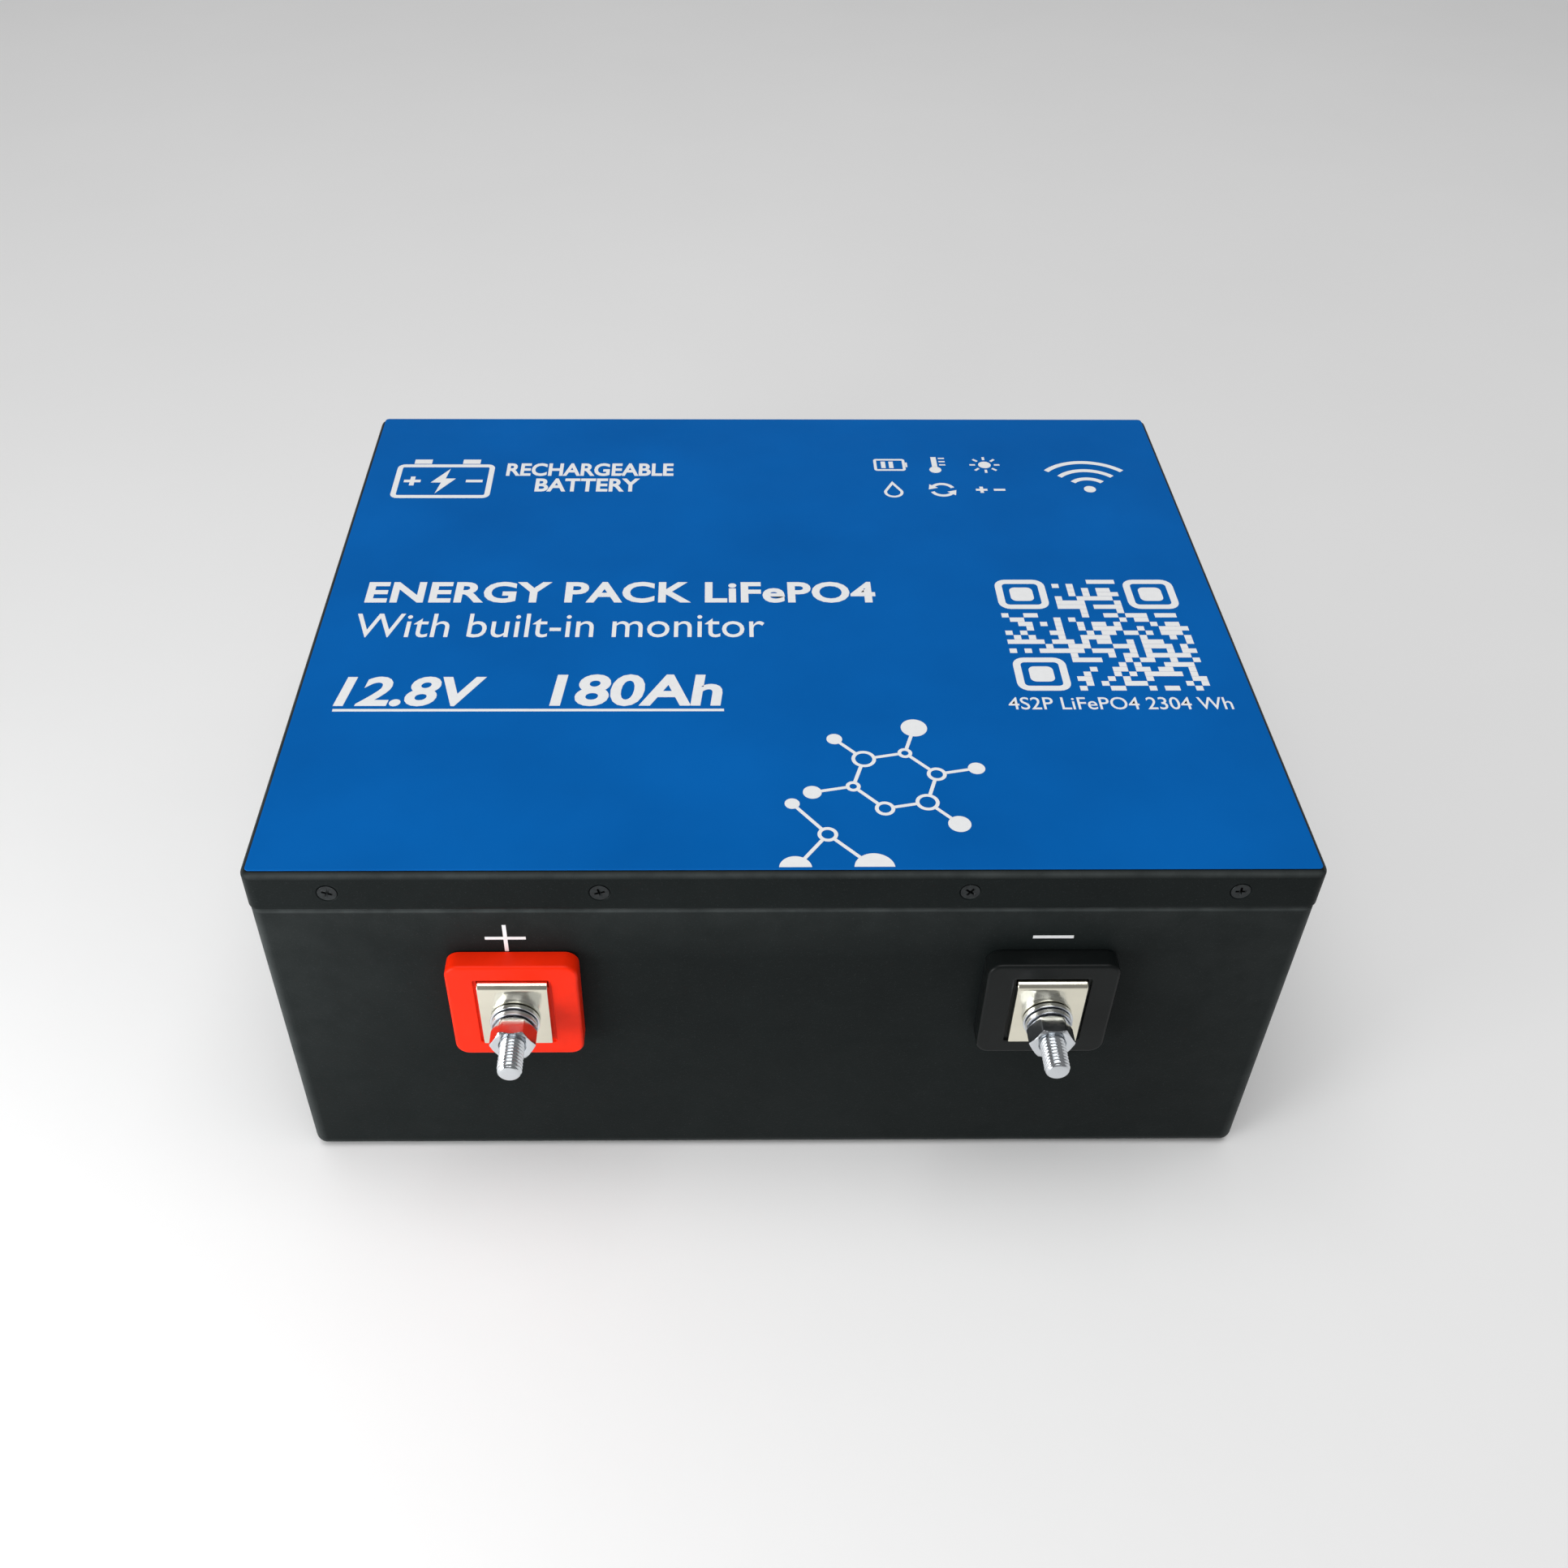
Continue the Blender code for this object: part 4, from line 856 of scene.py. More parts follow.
add_word("print_voltage", "12.8V", (-150.6, -100.2, -59.2, -43.0), boldness=0.028, slant=0.16)
add_word("print_capacity", "180Ah", (-77.5, -18.8, -59.2, -41.8), boldness=0.028, slant=0.10)
add_word("print_title", "ENERGY PACK LiFePO4", (-150.0, 38.0, 0.9, 14.2), boldness=0.03,
         spacing=1.04)
add_word("print_subtitle", "With built-in monitor", (-151.0, -3.5, -20.3, -6.0))
add_word("print_kind_upper", "RECHARGEABLE", (-107.0, -38.4, 90.0, 100.0), boldness=0.028)
add_word("print_kind_lower", "BATTERY", (-94.3, -52.0, 78.0, 88.0), boldness=0.028)
add_print("print_rating_rule", [bar((-150.3 * MM, -61.3 * MM), (-18.3 * MM, -61.3 * MM), 1.3 * MM)])

# %% [markdown]
# ### Pictograms
# At the back left is a plain battery outline with a bolt. At the back right are six small
# pictograms in thin lines, and beside them three arcs for the wireless link. Each is a short list
# of marks on a unit square, so one function draws them all.

# %% Drawing a pictogram
def drawn(marks, x, y, size):
    """Marks on a unit square, each a kind and its numbers, set at a centre and scaled."""
    at, parts = np.array((x, y)), []
    for kind, numbers in marks:
        n = np.array(numbers, float) * size
        if kind == "bar":
            parts.append(bar(at + n[:2], at + n[2:4], n[4]))
        elif kind == "disc":
            parts.append(disc(*(at + n[:2]), n[2]))
        elif kind == "frame":
            parts.append(frame_band(x, y, *n))
        elif kind == "arc":
            parts.append(arc_stroke(x, y, n[0], n[1], *numbers[2:]))
        elif kind == "band":
            parts.append(hollow_plate(*(at + n)))
        else:
            parts.append(plate(at + n))
    return parts


# %% The battery emblem
BOLT = [(0.10, 0.5), (-0.26, -0.06), (-0.04, -0.06), (-0.12, -0.5), (0.26, 0.10), (0.04, 0.10)]
EMBLEM = [("frame", (20, 13, 3, 2.2)), ("bar", (-13.6, 15.2, -6.4, 15.2, 3.4)),
          ("bar", (6.4, 15.2, 13.6, 15.2, 3.4)), ("shape", 19 * np.array(BOLT)),
          ("bar", (-16, 0, -9.2, 0, 1.9)), ("bar", (9.2, 0, 16, 0, 1.9)),
          ("bar", (-12.6, -3.4, -12.6, -0.97, 1.9)), ("bar", (-12.6, 0.97, -12.6, 3.4, 1.9))]
add_print("print_battery_emblem", drawn(EMBLEM, -132 * MM, 86 * MM, MM))


# %% Six small signs
SIGN_SIZE = 13.0


def drop_marks():
    """A drop: a circle below and a point above, joined by two tangents."""
    round_part = 0.3 * ways(np.radians(np.linspace(-215, 35, 30))) - (0, 0.15)
    outer = np.concatenate([round_part, [(0.0, 0.5)]])
    inner = np.concatenate([round_part * 0.7 + (0, -0.045), [(0.0, 0.3)]])
    return [("band", (outer, inner))]


def loop_marks():
    """Two arcs that follow each other round, each with an arrow head."""
    marks = []
    for start in (20, 200):
        side = ways(np.radians(start + 120))
        along = np.array((-side[1], side[0]))
        marks += [("arc", (0.34, 0.12, start, start + 120)),
                  ("shape", (0.18 * side, 0.50 * side, 0.34 * side + 0.26 * along))]
    return marks


rays = ways(np.radians(np.arange(0, 360, 45)))
arm_gap = 0.055 + 0.01 / SIGN_SIZE
SIGNS = (
    (51.0, 99.0, [("frame", (0.5, 0.36, 0.1, 0.09)), ("bar", (0.53, -0.14, 0.53, 0.14, 0.07)),
                  ("bar", (-0.2, -0.2, -0.2, 0.2, 0.14)), ("bar", (0.05, -0.2, 0.05, 0.2, 0.14))]),
    (71.0, 99.0, [("disc", (-0.1, -0.3, 0.19)), ("bar", (-0.1, -0.12, -0.1, 0.48, 0.17))]
     + [("bar", (0.05, level, 0.25, level, 0.07)) for level in (0.0, 0.2, 0.4)]),
    (90.5, 99.0, [("disc", (0, 0, 0.2))]
     + [("bar", (*0.3 * ray, *0.48 * ray, 0.08)) for ray in rays]),
    (51.0, 79.5, drop_marks()),
    (71.0, 79.5, loop_marks()),
    (90.5, 79.5, [("bar", (-0.46, 0, -0.10, 0, 0.11)),
                  ("bar", (-0.28, -0.18, -0.28, -arm_gap, 0.11)),
                  ("bar", (-0.28, arm_gap, -0.28, 0.18, 0.11)), ("bar", (0.10, 0, 0.46, 0, 0.11))]),
)
signs = []
for x, y, marks in SIGNS:
    signs += drawn(marks, x * MM, y * MM, SIGN_SIZE * MM)
add_print("print_signs", signs)
waves = [("disc", (0, 0, 2.4))] + [("arc", (radius, 2.2, 42, 138)) for radius in (8.0, 14.5, 21.0)]
add_print("print_wireless_waves", drawn(waves, 131.0 * MM, 80.0 * MM, MM))

# %% [markdown]
# ### Square mosaic
# At the right is a square block of small dots inside rounded corner marks. It looks like a printed
# code but says nothing: a seeded random draw sets the dots. All dots are made in one go, from the
# four corners of each little square.

# %% Mosaic
MOSAIC_MODULES = 25
MOSAIC_LOW = np.array((83.0, -51.0)) * MM
MOSAIC_SIDE = 66.6 * MM
MODULE = MOSAIC_SIDE / MOSAIC_MODULES
CORNER_MODULES = 8
DOT_SHARE = 0.52
DOT_GAP = 0.02 * MODULE


def mosaic():
    """Runs of dots along each row: a run starts where a drawn dot follows an empty place."""
    draw = np.random.default_rng(41).random((MOSAIC_MODULES, MOSAIC_MODULES)) < DOT_SHARE
    corner = np.arange(MOSAIC_MODULES) < CORNER_MODULES
    far = corner[::-1]
    draw &= ~(np.outer(corner, corner) | np.outer(far, corner) | np.outer(far, far))
    change = np.diff(np.pad(draw, ((0, 0), (1, 1))).astype(int), axis=1)
    row, start = np.nonzero(change == 1)
    _, end = np.nonzero(change == -1)
    low = MOSAIC_LOW + np.stack([start, row], axis=-1) * MODULE + DOT_GAP
    high = MOSAIC_LOW + np.stack([end, row + 1], axis=-1) * MODULE - DOT_GAP
    corners = low[:, None] + (high - low)[:, None] * np.array([(0, 0), (1, 0), (1, 1), (0, 1)])
    levels = [np.concatenate([corners, np.full((*corners.shape[:2], 1), height)], axis=-1)
              for height in (INK_LOW, INK_HIGH)]
    block = np.array([(3, 2, 1, 0), (4, 5, 6, 7), (0, 1, 5, 4), (1, 2, 6, 5), (2, 3, 7, 6),
                      (3, 0, 4, 7)])
    faces = (np.arange(len(row))[:, None, None] * 8 + block).reshape(-1, 4)
    return np.concatenate(levels, axis=1).reshape(-1, 3), faces.tolist()


def corner_marks():
    """A rounded frame and a rounded spot in three corners."""
    half = 3.5 * MODULE
    parts = []
    for corner in ((0, 0), (0, 1), (1, 1)):
        at = MOSAIC_LOW + half + np.array(corner) * (MOSAIC_SIDE - 2 * half)
        parts.append(frame_band(*at, half, half, 1.6 * MODULE, MODULE))
        parts.append(plate(rectangle_ring(1.6 * MODULE, 1.6 * MODULE, 0.8 * MODULE, at,
                                          arc_points=6)))
    return parts


add_print("print_mosaic", [mosaic(), *corner_marks()])
add_word("print_energy", "4S2P LiFePO4 2304 Wh", (78.4, 154.8, -61.2, -54.6), boldness=0.004)

# %% [markdown]
# ### Crystal lattice
# The front of the label has a line drawing of a lattice, as a picture of what is inside: a hexagon
# of rings with a spoke and a ball on each corner, and part of a second one that the label's edge
# cuts off. The hexagon comes from one angle formula, so it stays regular.

# %% Lattice
LINE = 1.2 * MM
BALLS = np.array((2.8, 4.4, 2.6, 3.0, 0.0, 3.6)) * MM
RINGS = np.array((2.6, 1.8, 3.4, 1.8, 2.6, 3.2)) * MM


def link_bar(start, end, start_gap, end_gap):
    """A line between two places that stops short of each by its gap."""
    along = (end - start) / np.linalg.norm(end - start)
    return bar(start + along * start_gap, end - along * end_gap, LINE)


def lattice_cell(centre, radius, first_angle, spoke):
    """Six corners at first_angle + 60 k degrees, joined in a ring, with spokes to balls outside."""
    way = ways(np.radians(first_angle + 60 * np.arange(6)))
    corners = centre + radius * way
    gaps = RINGS + LINE / 2
    parts = []
    for k in range(6):
        after = (k + 1) % 6
        parts.append(link_bar(corners[k], corners[after], gaps[k], gaps[after]))
        parts.append(circle_band(*corners[k], RINGS[k], LINE))
        if BALLS[k]:
            end = corners[k] + way[k] * spoke
            parts.append(link_bar(corners[k], end, gaps[k], BALLS[k]))
            parts.append(disc(*end, BALLS[k]))
    return parts


# %% The cut-off part of the lattice
lattice = lattice_cell(np.array((36.5, -97.0)) * MM, 14.0 * MM, 12.0, 13.5 * MM)
edge = film_low[1] + 0.6 * MM
spot = np.array((13.5, -122.0)) * MM
spot_ring = 2.6 * MM
lattice.append(circle_band(*spot, spot_ring, LINE))
for x, radius in ((3.0 * MM, 5.0 * MM), (27.0 * MM, 6.2 * MM)):
    end = np.array((x, edge))
    half_turn = ways(np.radians(np.linspace(4, 176, 30)))
    lattice.append(link_bar(spot, end, spot_ring + LINE / 2, radius))
    lattice.append(plate(end + radius * half_turn))
ball = np.array((3.0, -108.0)) * MM
lattice.append(link_bar(spot, ball, spot_ring + LINE / 2, 2.4 * MM))
lattice.append(disc(*ball, 2.4 * MM))
add_print("print_lattice", lattice)

# %% [markdown]
# ## Terminals
# Each terminal is a stack: a moulded block through the wall, a plated busbar bent over the block's
# seat, an M8 stud, a flat washer, a split spring washer and a nut. The blocks, busbars and studs
# stay with the case; the washers and the nut move when the nut is unscrewed.

# %% Polarity marks
MARK_Z = 110.9
ARM_X, ARM_Z, HALF_LINE = 6.4, 6.0, 0.62


def plus_outline(x, z, w):
    """The twelve corners of a plus whose arms reach x and z and are 2 w wide."""
    return [(-x, -w), (-w, -w), (-w, -z), (w, -z), (w, -w), (x, -w), (x, w), (w, w), (w, z),
            (-w, z), (-w, w), (-x, w)]


minus = [(-ARM_X, -HALF_LINE), (ARM_X, -HALF_LINE), (ARM_X, HALF_LINE), (-ARM_X, HALF_LINE)]
for name, x, outline in (("positive_mark", -87.0, plus_outline(ARM_X, ARM_Z, HALF_LINE)),
                         ("negative_mark", 84.8, minus)):
    mark = prism((np.array(outline) + (x, MARK_Z)) * MM, 0.01 * MM, 0.08 * MM)
    add_piece(name, facing_front(mark, y=tub_low[1]), INK, "case_paint", sharp=20.0)

# %% [markdown]
# ### Moulded blocks
# A block could be a bevelled cube with boolean cuts, but its soft front edge and the shallow seat
# are all rounded rectangles that flow into one another. So the surface runs as one closed loop of
# rings: out along the spigot, round the block, over the front edge, down into the seat and back
# through the bore. Only the slot for the busbar and the pocket for the bolt's head are cut.

# %% Sizes of a block
STUD_BORE = 4.3 * MM
BLOCK_CORNER = 4.5 * MM
BLOCK_EDGE = 1.1 * MM
SEAT_MARGIN = 1.2 * MM
SEAT_DEPTH = 0.8 * MM
HEAD_HEIGHT = 5.3 * MM
STRIP = 2.0 * MM
BEND = 2.6 * MM  # outer radius of the busbar's bend
FLATS = 13.0 * MM


# %% The surface of a block
def block_surface(node, bar_node, stud_z):
    """Rings and their distance in front of the lid's face, in order along the loop.

    A ring is a rounded rectangle with a half size, a corner and a height above the stud, or the
    stud's bore. The spigot is behind the lid's face, so it has negative distances.
    """
    low, high = node_box(node)
    bar_low, bar_high = node_box(bar_node)
    proud, spigot_end = lid_low[1] - low[1], lid_low[1] - high[1]
    outer = (high - low)[[0, 2]] / 2
    rise = (low[2] + high[2]) / 2 - stud_z
    seat = (bar_high - bar_low)[[0, 2]] / 2 + SEAT_MARGIN
    seat_rise = (bar_low[2] + bar_high[2]) / 2 - stud_z
    spigot, floor = SPIGOT / 2, proud - SEAT_DEPTH
    bore = circle_ring(STUD_BORE)

    def rounded(half, corner, above=rise):
        return rectangle_ring(*half, corner, (0.0, above))

    rows = [(bore, spigot_end + 0.4 * MM), (bore, spigot_end),
            (rounded(spigot - 0.4 * MM, 1.6 * MM), spigot_end),
            (rounded(spigot, 2.0 * MM), spigot_end + 0.4 * MM),
            (rounded(spigot, 2.0 * MM), -0.01 * MM),
            (rounded(spigot + 0.1 * MM, 2.0 * MM), 0.0),
            (rounded(outer - 0.3 * MM, BLOCK_CORNER - 0.3 * MM), 0.0),
            (rounded(outer, BLOCK_CORNER), 0.3 * MM), (rounded(outer, BLOCK_CORNER), 1.0 * MM),
            (rounded(outer, BLOCK_CORNER), proud - BLOCK_EDGE - 0.6 * MM)]
    rows += [(rounded(outer - inset, BLOCK_CORNER - inset), proud - drop)
             for inset, drop in BLOCK_EDGE * quarter_arc(8)[::-1]]
    rows.append((rounded(outer - BLOCK_EDGE - 0.5 * MM, BLOCK_CORNER - 1.6 * MM), proud))
    rows += [(rounded(seat + grow * MM, (0.8 + grow) * MM, seat_rise), proud - drop * MM)
             for grow, drop in ((0.7, 0.0), (0.25, 0.0), (0.1, 0.04), (0.03, 0.12), (0.0, 0.25))]
    rows += [(rounded(seat, 0.8 * MM, seat_rise), floor + 0.1 * MM),
             (rounded(seat - 0.1 * MM, 0.7 * MM, seat_rise), floor),
             (bore, floor), (bore, floor - 0.3 * MM)]
    return grid_surface(stacked(*zip(*rows)), ends="looped")


def box(low, high):
    """A plain box between two corners, used as a cutter."""
    return prism([(low[0], low[1]), (high[0], low[1]), (high[0], high[1]), (low[0], high[1])],
                 low[2], high[2])


# %% Moulded finish and both blocks
def moulded(name, colour, shine):
    """Glass-filled nylon: a fine sparked grain, faint flow streaks and a satin gloss."""
    finish = basic_finish(name, colour, 0.0, shine, mottle=0.05, patch=130.0, gloss=0.05,
                          grain=2600.0, depth=0.00002)
    streaks = finish.noise(50.0, detail=2.0, vector=finish.stretched((1, 1, 6)))
    finish.bump(streaks, 0.00008, strength=0.3)
    finish.set("Specular IOR Level", 0.13)
    return finish


RED = moulded("red_moulding", paint(248, 42, 6), 0.42)
BLACK = moulded("black_moulding", paint(19, 22, 22), 0.34)
hexagon = (FLATS + 2 * FIT) / math.sqrt(3) * ways(np.radians(60 * np.arange(6) + 30))
BLOCKS = (("positive", RED, "red_insulator"), ("negative", BLACK, "black_insulator"))
for sign, finish, slot in BLOCKS:
    node, bar_node = sign + "_insulator", sign + "_busbar"
    x, _, stud_z = middle(sign + "_stud")
    bar_low, bar_high = node_box(bar_node)
    inner_end = node_box(node)[1][1]
    block = facing_front(block_surface(node, bar_node, stud_z), x, lid_low[1], stud_z)
    seat_y = bar_low[1] + STRIP + FIT
    slot_box = box((bar_low[0] - FIT, seat_y - SEAT_DEPTH, bar_high[2] - BEND - FIT),
                   (bar_high[0] + FIT, inner_end + FIT, bar_high[2] + FIT))
    pocket = facing_front(prism(hexagon, -FIT, HEAD_HEIGHT + 2 * FIT), x, inner_end, stud_z)
    block_mesh = cut(mesh_of(sign + "_block", block), [slot_box, pocket])
    add_piece(sign + "_block", block_mesh, finish, slot, stands_for=(node,))

# %% [markdown]
# ### Busbars
# A busbar is a plated strip. A section, a rectangle with softly rounded edges, is carried along an
# L-shaped path whose bend is an arc. At each step the section lies along the path's normal, which
# is the tangent turned by a quarter.

# %% The bent strip
def strip_surface(low, high):
    """The section (across, out) at each (y, z) of the path: place + across X + out x normal."""
    top, front, end, bottom = high[2], low[1], high[1], low[2]
    radius = BEND - STRIP / 2
    t = np.linspace(0, np.pi / 2, 13)
    arc_y = front + BEND - radius * np.cos(t)
    arc_z = top - BEND + radius * np.sin(t)
    ends_y = [front + BEND + 0.8 * MM, end - 0.5 * MM, end - 0.15 * MM, end]
    starts_z = [bottom, bottom + 0.15 * MM, bottom + 0.5 * MM, top - BEND - 0.8 * MM]
    y = np.concatenate([np.full(4, front + STRIP / 2), arc_y, ends_y])
    z = np.concatenate([starts_z, arc_z, np.full(4, top - STRIP / 2)])
    normal_angle = np.concatenate([np.zeros(4), t, np.full(4, np.pi / 2)])
    shrink = np.zeros(len(y))
    shrink[[0, -1]] = 0.22 * MM
    shrink[[1, -2]] = 0.05 * MM
    centre_x, half = (low[0] + high[0]) / 2, (high[0] - low[0]) / 2
    ring = np.stack([rectangle_ring(half - less, STRIP / 2 - less, 0.3 * MM, arc_points=5)
                     for less in shrink])
    across, out = ring[..., 0], ring[..., 1]
    return grid_surface(np.stack([centre_x + across,
                                  y[:, None] - np.cos(normal_angle)[:, None] * out,
                                  z[:, None] + np.sin(normal_angle)[:, None] * out], axis=-1))


# %% Plating and both busbars
def plated(name, colour, roughness, grain, scratch=0.00002):
    """Bright plating: thin drawn lines one way, a slow warmth and finger-smudged gloss."""
    finish = Finish(name, colour, 1.0, roughness)
    finish.cloud(finish.noise(45.0, detail=4.0), scaled(colour, 0.9), scaled(colour, 1.08))
    finish.gloss(160.0, roughness - 0.05, roughness + 0.1, detail=4.0)
    lines = finish.noise(1.0, detail=4.0, vector=finish.stretched(grain))
    finish.bump(lines, scratch, strength=0.6)
    return finish


NICKEL = plated("nickel_plate", paint(226, 222, 205), 0.14, (1400, 60, 60))
for sign in ("positive", "negative"):
    low, high = node_box(sign + "_busbar")
    x, _, stud_z = middle(sign + "_stud")
    stud_hole = facing_front(cylinder(STUD_BORE, -STRIP - FIT, FIT), x, low[1], stud_z)
    lug_points, lug_faces = cylinder(STUD_BORE, high[2] - STRIP - FIT, high[2] + FIT)
    lug_hole = (lug_points + (x, high[1] - (high[0] - low[0]) / 2, 0), lug_faces)
    strip = cut(mesh_of(sign + "_strip", strip_surface(low, high)), [stud_hole, lug_hole])
    add_piece(sign + "_strip", strip, NICKEL, "nickel_busbar", stands_for=(sign + "_busbar",))

# %% [markdown]
# ### Studs
# The stud is an M8 bolt whose hexagon head sits in the block's pocket. Its thread is the same
# formula as the screws', with the metric pitch of 1.25 mm, and the tip is turned to a soft nose.

# %% Studs
PITCH = 1.25 * MM
THREAD = 0.68 * MM
STUD_RADIUS = 4.0 * MM
NOSE = 1.8 * MM
NOSE_RADIUS = 2.3 * MM
THREAD_TURNS = 24


def hexagon_radius(angle):
    """Distance from the middle to a hexagon's side at an angle, with flats up and down."""
    return FLATS / 2 / np.cos((angle - np.pi / 2 + np.pi / 6) % (np.pi / 3) - np.pi / 6)


def stud_surface(length):
    """Head's cap, hexagon with turned corners, shank, thread and nose, as one closed grid."""
    angle = turn_angles(72)
    limits, heights = np.hsplit(np.array([(5.9, -1.0), (6.4, -1.0), (6.8, -0.93), (7.6, -0.82),
                                          (7.6, -0.05), (6.9, 0.0)]), 2)
    head = revolved(np.minimum(hexagon_radius(angle), limits * MM), heights * HEAD_HEIGHT, angle)
    neck = turned([(4.4, 0.0), (4.05, 0.2), (STUD_RADIUS / MM, 0.6)], angle)

    def limit(z):
        share = np.clip((z - (length - NOSE)) / NOSE, 0, 1)
        return NOSE_RADIUS + (STUD_RADIUS - NOSE_RADIUS) * np.sqrt(np.clip(1 - share ** 2, 0, 1))

    rod = threaded_rod(limit, length - THREAD_TURNS * PITCH, length - 0.12 * MM, PITCH, THREAD, 12,
                       angle)
    nose = turned([(2.15, -0.05), (1.7, -0.01), (0.8, 0.0)], angle) + (0, 0, length)
    return grid_surface(np.concatenate([head, neck, rod, nose]))


ZINC = plated("bright_zinc", paint(214, 218, 222), 0.12, (300, 1600, 300))
for sign in ("positive", "negative"):
    low, high = node_box(sign + "_stud")
    x, _, stud_z = (low + high) / 2
    under_head = high[1] - HEAD_HEIGHT
    bolt = facing_front(stud_surface(under_head - low[1]), x, under_head, stud_z)
    add_piece(sign + "_bolt", bolt, ZINC, "zinc_hardware", stands_for=(sign + "_stud",), sharp=48.0)

# %% [markdown]
# ### Washers and nuts
# A flat washer is a small profile turned round the axis. A spring washer is a section carried
# round a helix, a little less than one turn, with two cut ends. The nut is a hexagon whose corners
# are turned off by a cone at both ends: its radius is the smaller of the hexagon's and the cone's.
# The nut's bore has the same thread as the stud, in step with it, so they stay meshed as it turns.

# %% Washers
def turned_ring(profile, columns=72):
    """A closed (radius, height) line in metres, turned round Z."""
    return grid_surface(revolved(*np.hsplit(profile, 2), turn_angles(columns)), ends="looped")


def washer_surface(inner, outer, thickness, soft):
    """A rectangle with rounded corners, as a ring of (radius, height), turned round Z."""
    ring = rectangle_ring((outer - inner) / 2, thickness / 2, soft, arc_points=5)
    return turned_ring(ring + ((outer + inner) / 2, thickness / 2))


def spring_surface(inner, outer, thickness, section, first, last):
    """The section carried from the first to the last angle while it climbs to the thickness."""
    ring = rectangle_ring((outer - inner) / 2, section / 2, 0.2 * MM, arc_points=4)
    t = np.linspace(0, 1, 90)[:, None]
    angle = first + (last - first) * t
    radius = (outer + inner) / 2 + ring[:, 0]
    height = section / 2 + (thickness - section) * t + ring[:, 1]
    return grid_surface(revolved(radius, height, angle))


def add_on_stud(sign, part, surface, finish, slot, body, sharp):
    """A local surface set on a terminal's axis, its zero at the back of its CAD node."""
    node = f"{sign}_{part}"
    x, _, stud_z = middle(sign + "_stud")
    placed_surface = facing_front(surface, x, node_box(node)[1][1], stud_z)
    add_piece(node + "_steel", placed_surface, finish, slot, body=f"{sign}_{body}",
              stands_for=(node,), sharp=sharp)


SPRING = plated("spring_steel", paint(196, 200, 206), 0.28, (500, 500, 500))
for sign in ("positive", "negative"):
    flat = washer_surface(STUD_BORE, 8.0 * MM, 1.6 * MM, 0.25 * MM)
    add_on_stud(sign, "flat_washer", flat, ZINC, "zinc_hardware", "washers", 50.0)
    coil = spring_surface(4.25 * MM, 7.4 * MM, 2.0 * MM, 1.72 * MM, *np.radians((5, 354)))
    add_on_stud(sign, "spring_washer", coil, SPRING, "spring_steel", "washers", 50.0)

# %% Nuts
NUT_HEIGHT = 6.5 * MM
NUT_CORNER = 7.42 * MM
THREAD_ROOM = 0.12 * MM
LEAD_IN = 0.3 * MM


def nut_surface(phase):
    """One loop of rings: up the sides, in over the face, down the threaded bore, over the base.

    Side radius = min(hexagon, cone); bore radius = root + what the thread leaves free, so the nut's
    thread fills the stud's groove with a small clearance.
    """
    angle = turn_angles(144)
    ends = np.linspace(0, 0.62 * MM, 7)
    sides = [1.2 * MM, NUT_HEIGHT - 1.2 * MM]
    heights = np.concatenate([ends, sides, NUT_HEIGHT - ends[::-1]])[:, None]
    cone = 6.42 * MM + np.minimum(heights, NUT_HEIGHT - heights) * math.tan(math.radians(60))
    side = np.minimum(np.minimum(hexagon_radius(angle), NUT_CORNER), cone)
    bore = np.linspace(NUT_HEIGHT - LEAD_IN, LEAD_IN, 53)[:, None]
    crest = STUD_RADIUS + THREAD_ROOM - thread_depth(angle, bore + phase, PITCH, THREAD)
    depth = np.minimum(bore, NUT_HEIGHT - bore) - LEAD_IN
    mouth = np.maximum(crest, 4.35 * MM - depth * 1.2)
    face = np.array([(6.1, 0.0), (4.75, 0.0), (4.45, -0.05)])
    return grid_surface(np.concatenate([
        revolved(side, heights, angle), turned(face, angle) + (0, 0, NUT_HEIGHT),
        revolved(mouth, bore, angle), turned(face[::-1] * (1, -1), angle)]), ends="looped")


for sign in ("positive", "negative"):
    phase = node_box(sign + "_stud")[1][1] - HEAD_HEIGHT - node_box(sign + "_nut")[1][1]
    add_on_stud(sign, "nut", nut_surface(phase), ZINC, "zinc_hardware", "nut", 24.0)

# %% [markdown]
# ## Inside the case
# Eight flat lithium cells lie on foam in four pairs. A cell is a drawn aluminium can in a blue
# shrink film, with two posts and a vent on its front face. One surface runs from the back of the
# can to its front, and the posts and the vent's rim are turned pieces of their own metal.

# %% A cell's can and film
CAN_EDGE = 1.5 * MM
CAN_CORNER = 2.2 * MM
POST_HEIGHT = 3.0 * MM
POST_REACH = 33.25 * MM
POST = [(1.0, 0.0), (7.0, 0.0), (7.0, 2.7), (6.85, 2.92), (6.6, 3.0), (3.4, 3.0), (3.2, 2.8),
        (1.0, 2.8)]
VENT = [(1.0, 0.0), (6.0, 0.0), (6.0, 0.35), (5.8, 0.45), (5.4, 0.45), (5.2, 0.3), (4.0, 0.2),
        (1.0, 0.2)]


def can_surface(low, high, front):
    """Rounded rectangles in x and z from back to front; both end edges are quarter circles."""
    centre, half = (low + high) / 2, (high - low) / 2
    fillet = CAN_EDGE * quarter_arc(7)
    length = high[1] - front
    insets = np.concatenate([fillet[:, 0], [0, 0], fillet[::-1, 0]])
    along = np.concatenate([fillet[:, 1], [3 * MM, length - 3 * MM], length - fillet[::-1, 1]])
    rings = [rectangle_ring(half[0] - inset, half[2] - inset, CAN_CORNER - inset)
             for inset in insets]
    return facing_front(grid_surface(stacked(rings, along)), centre[0], high[1], centre[2])


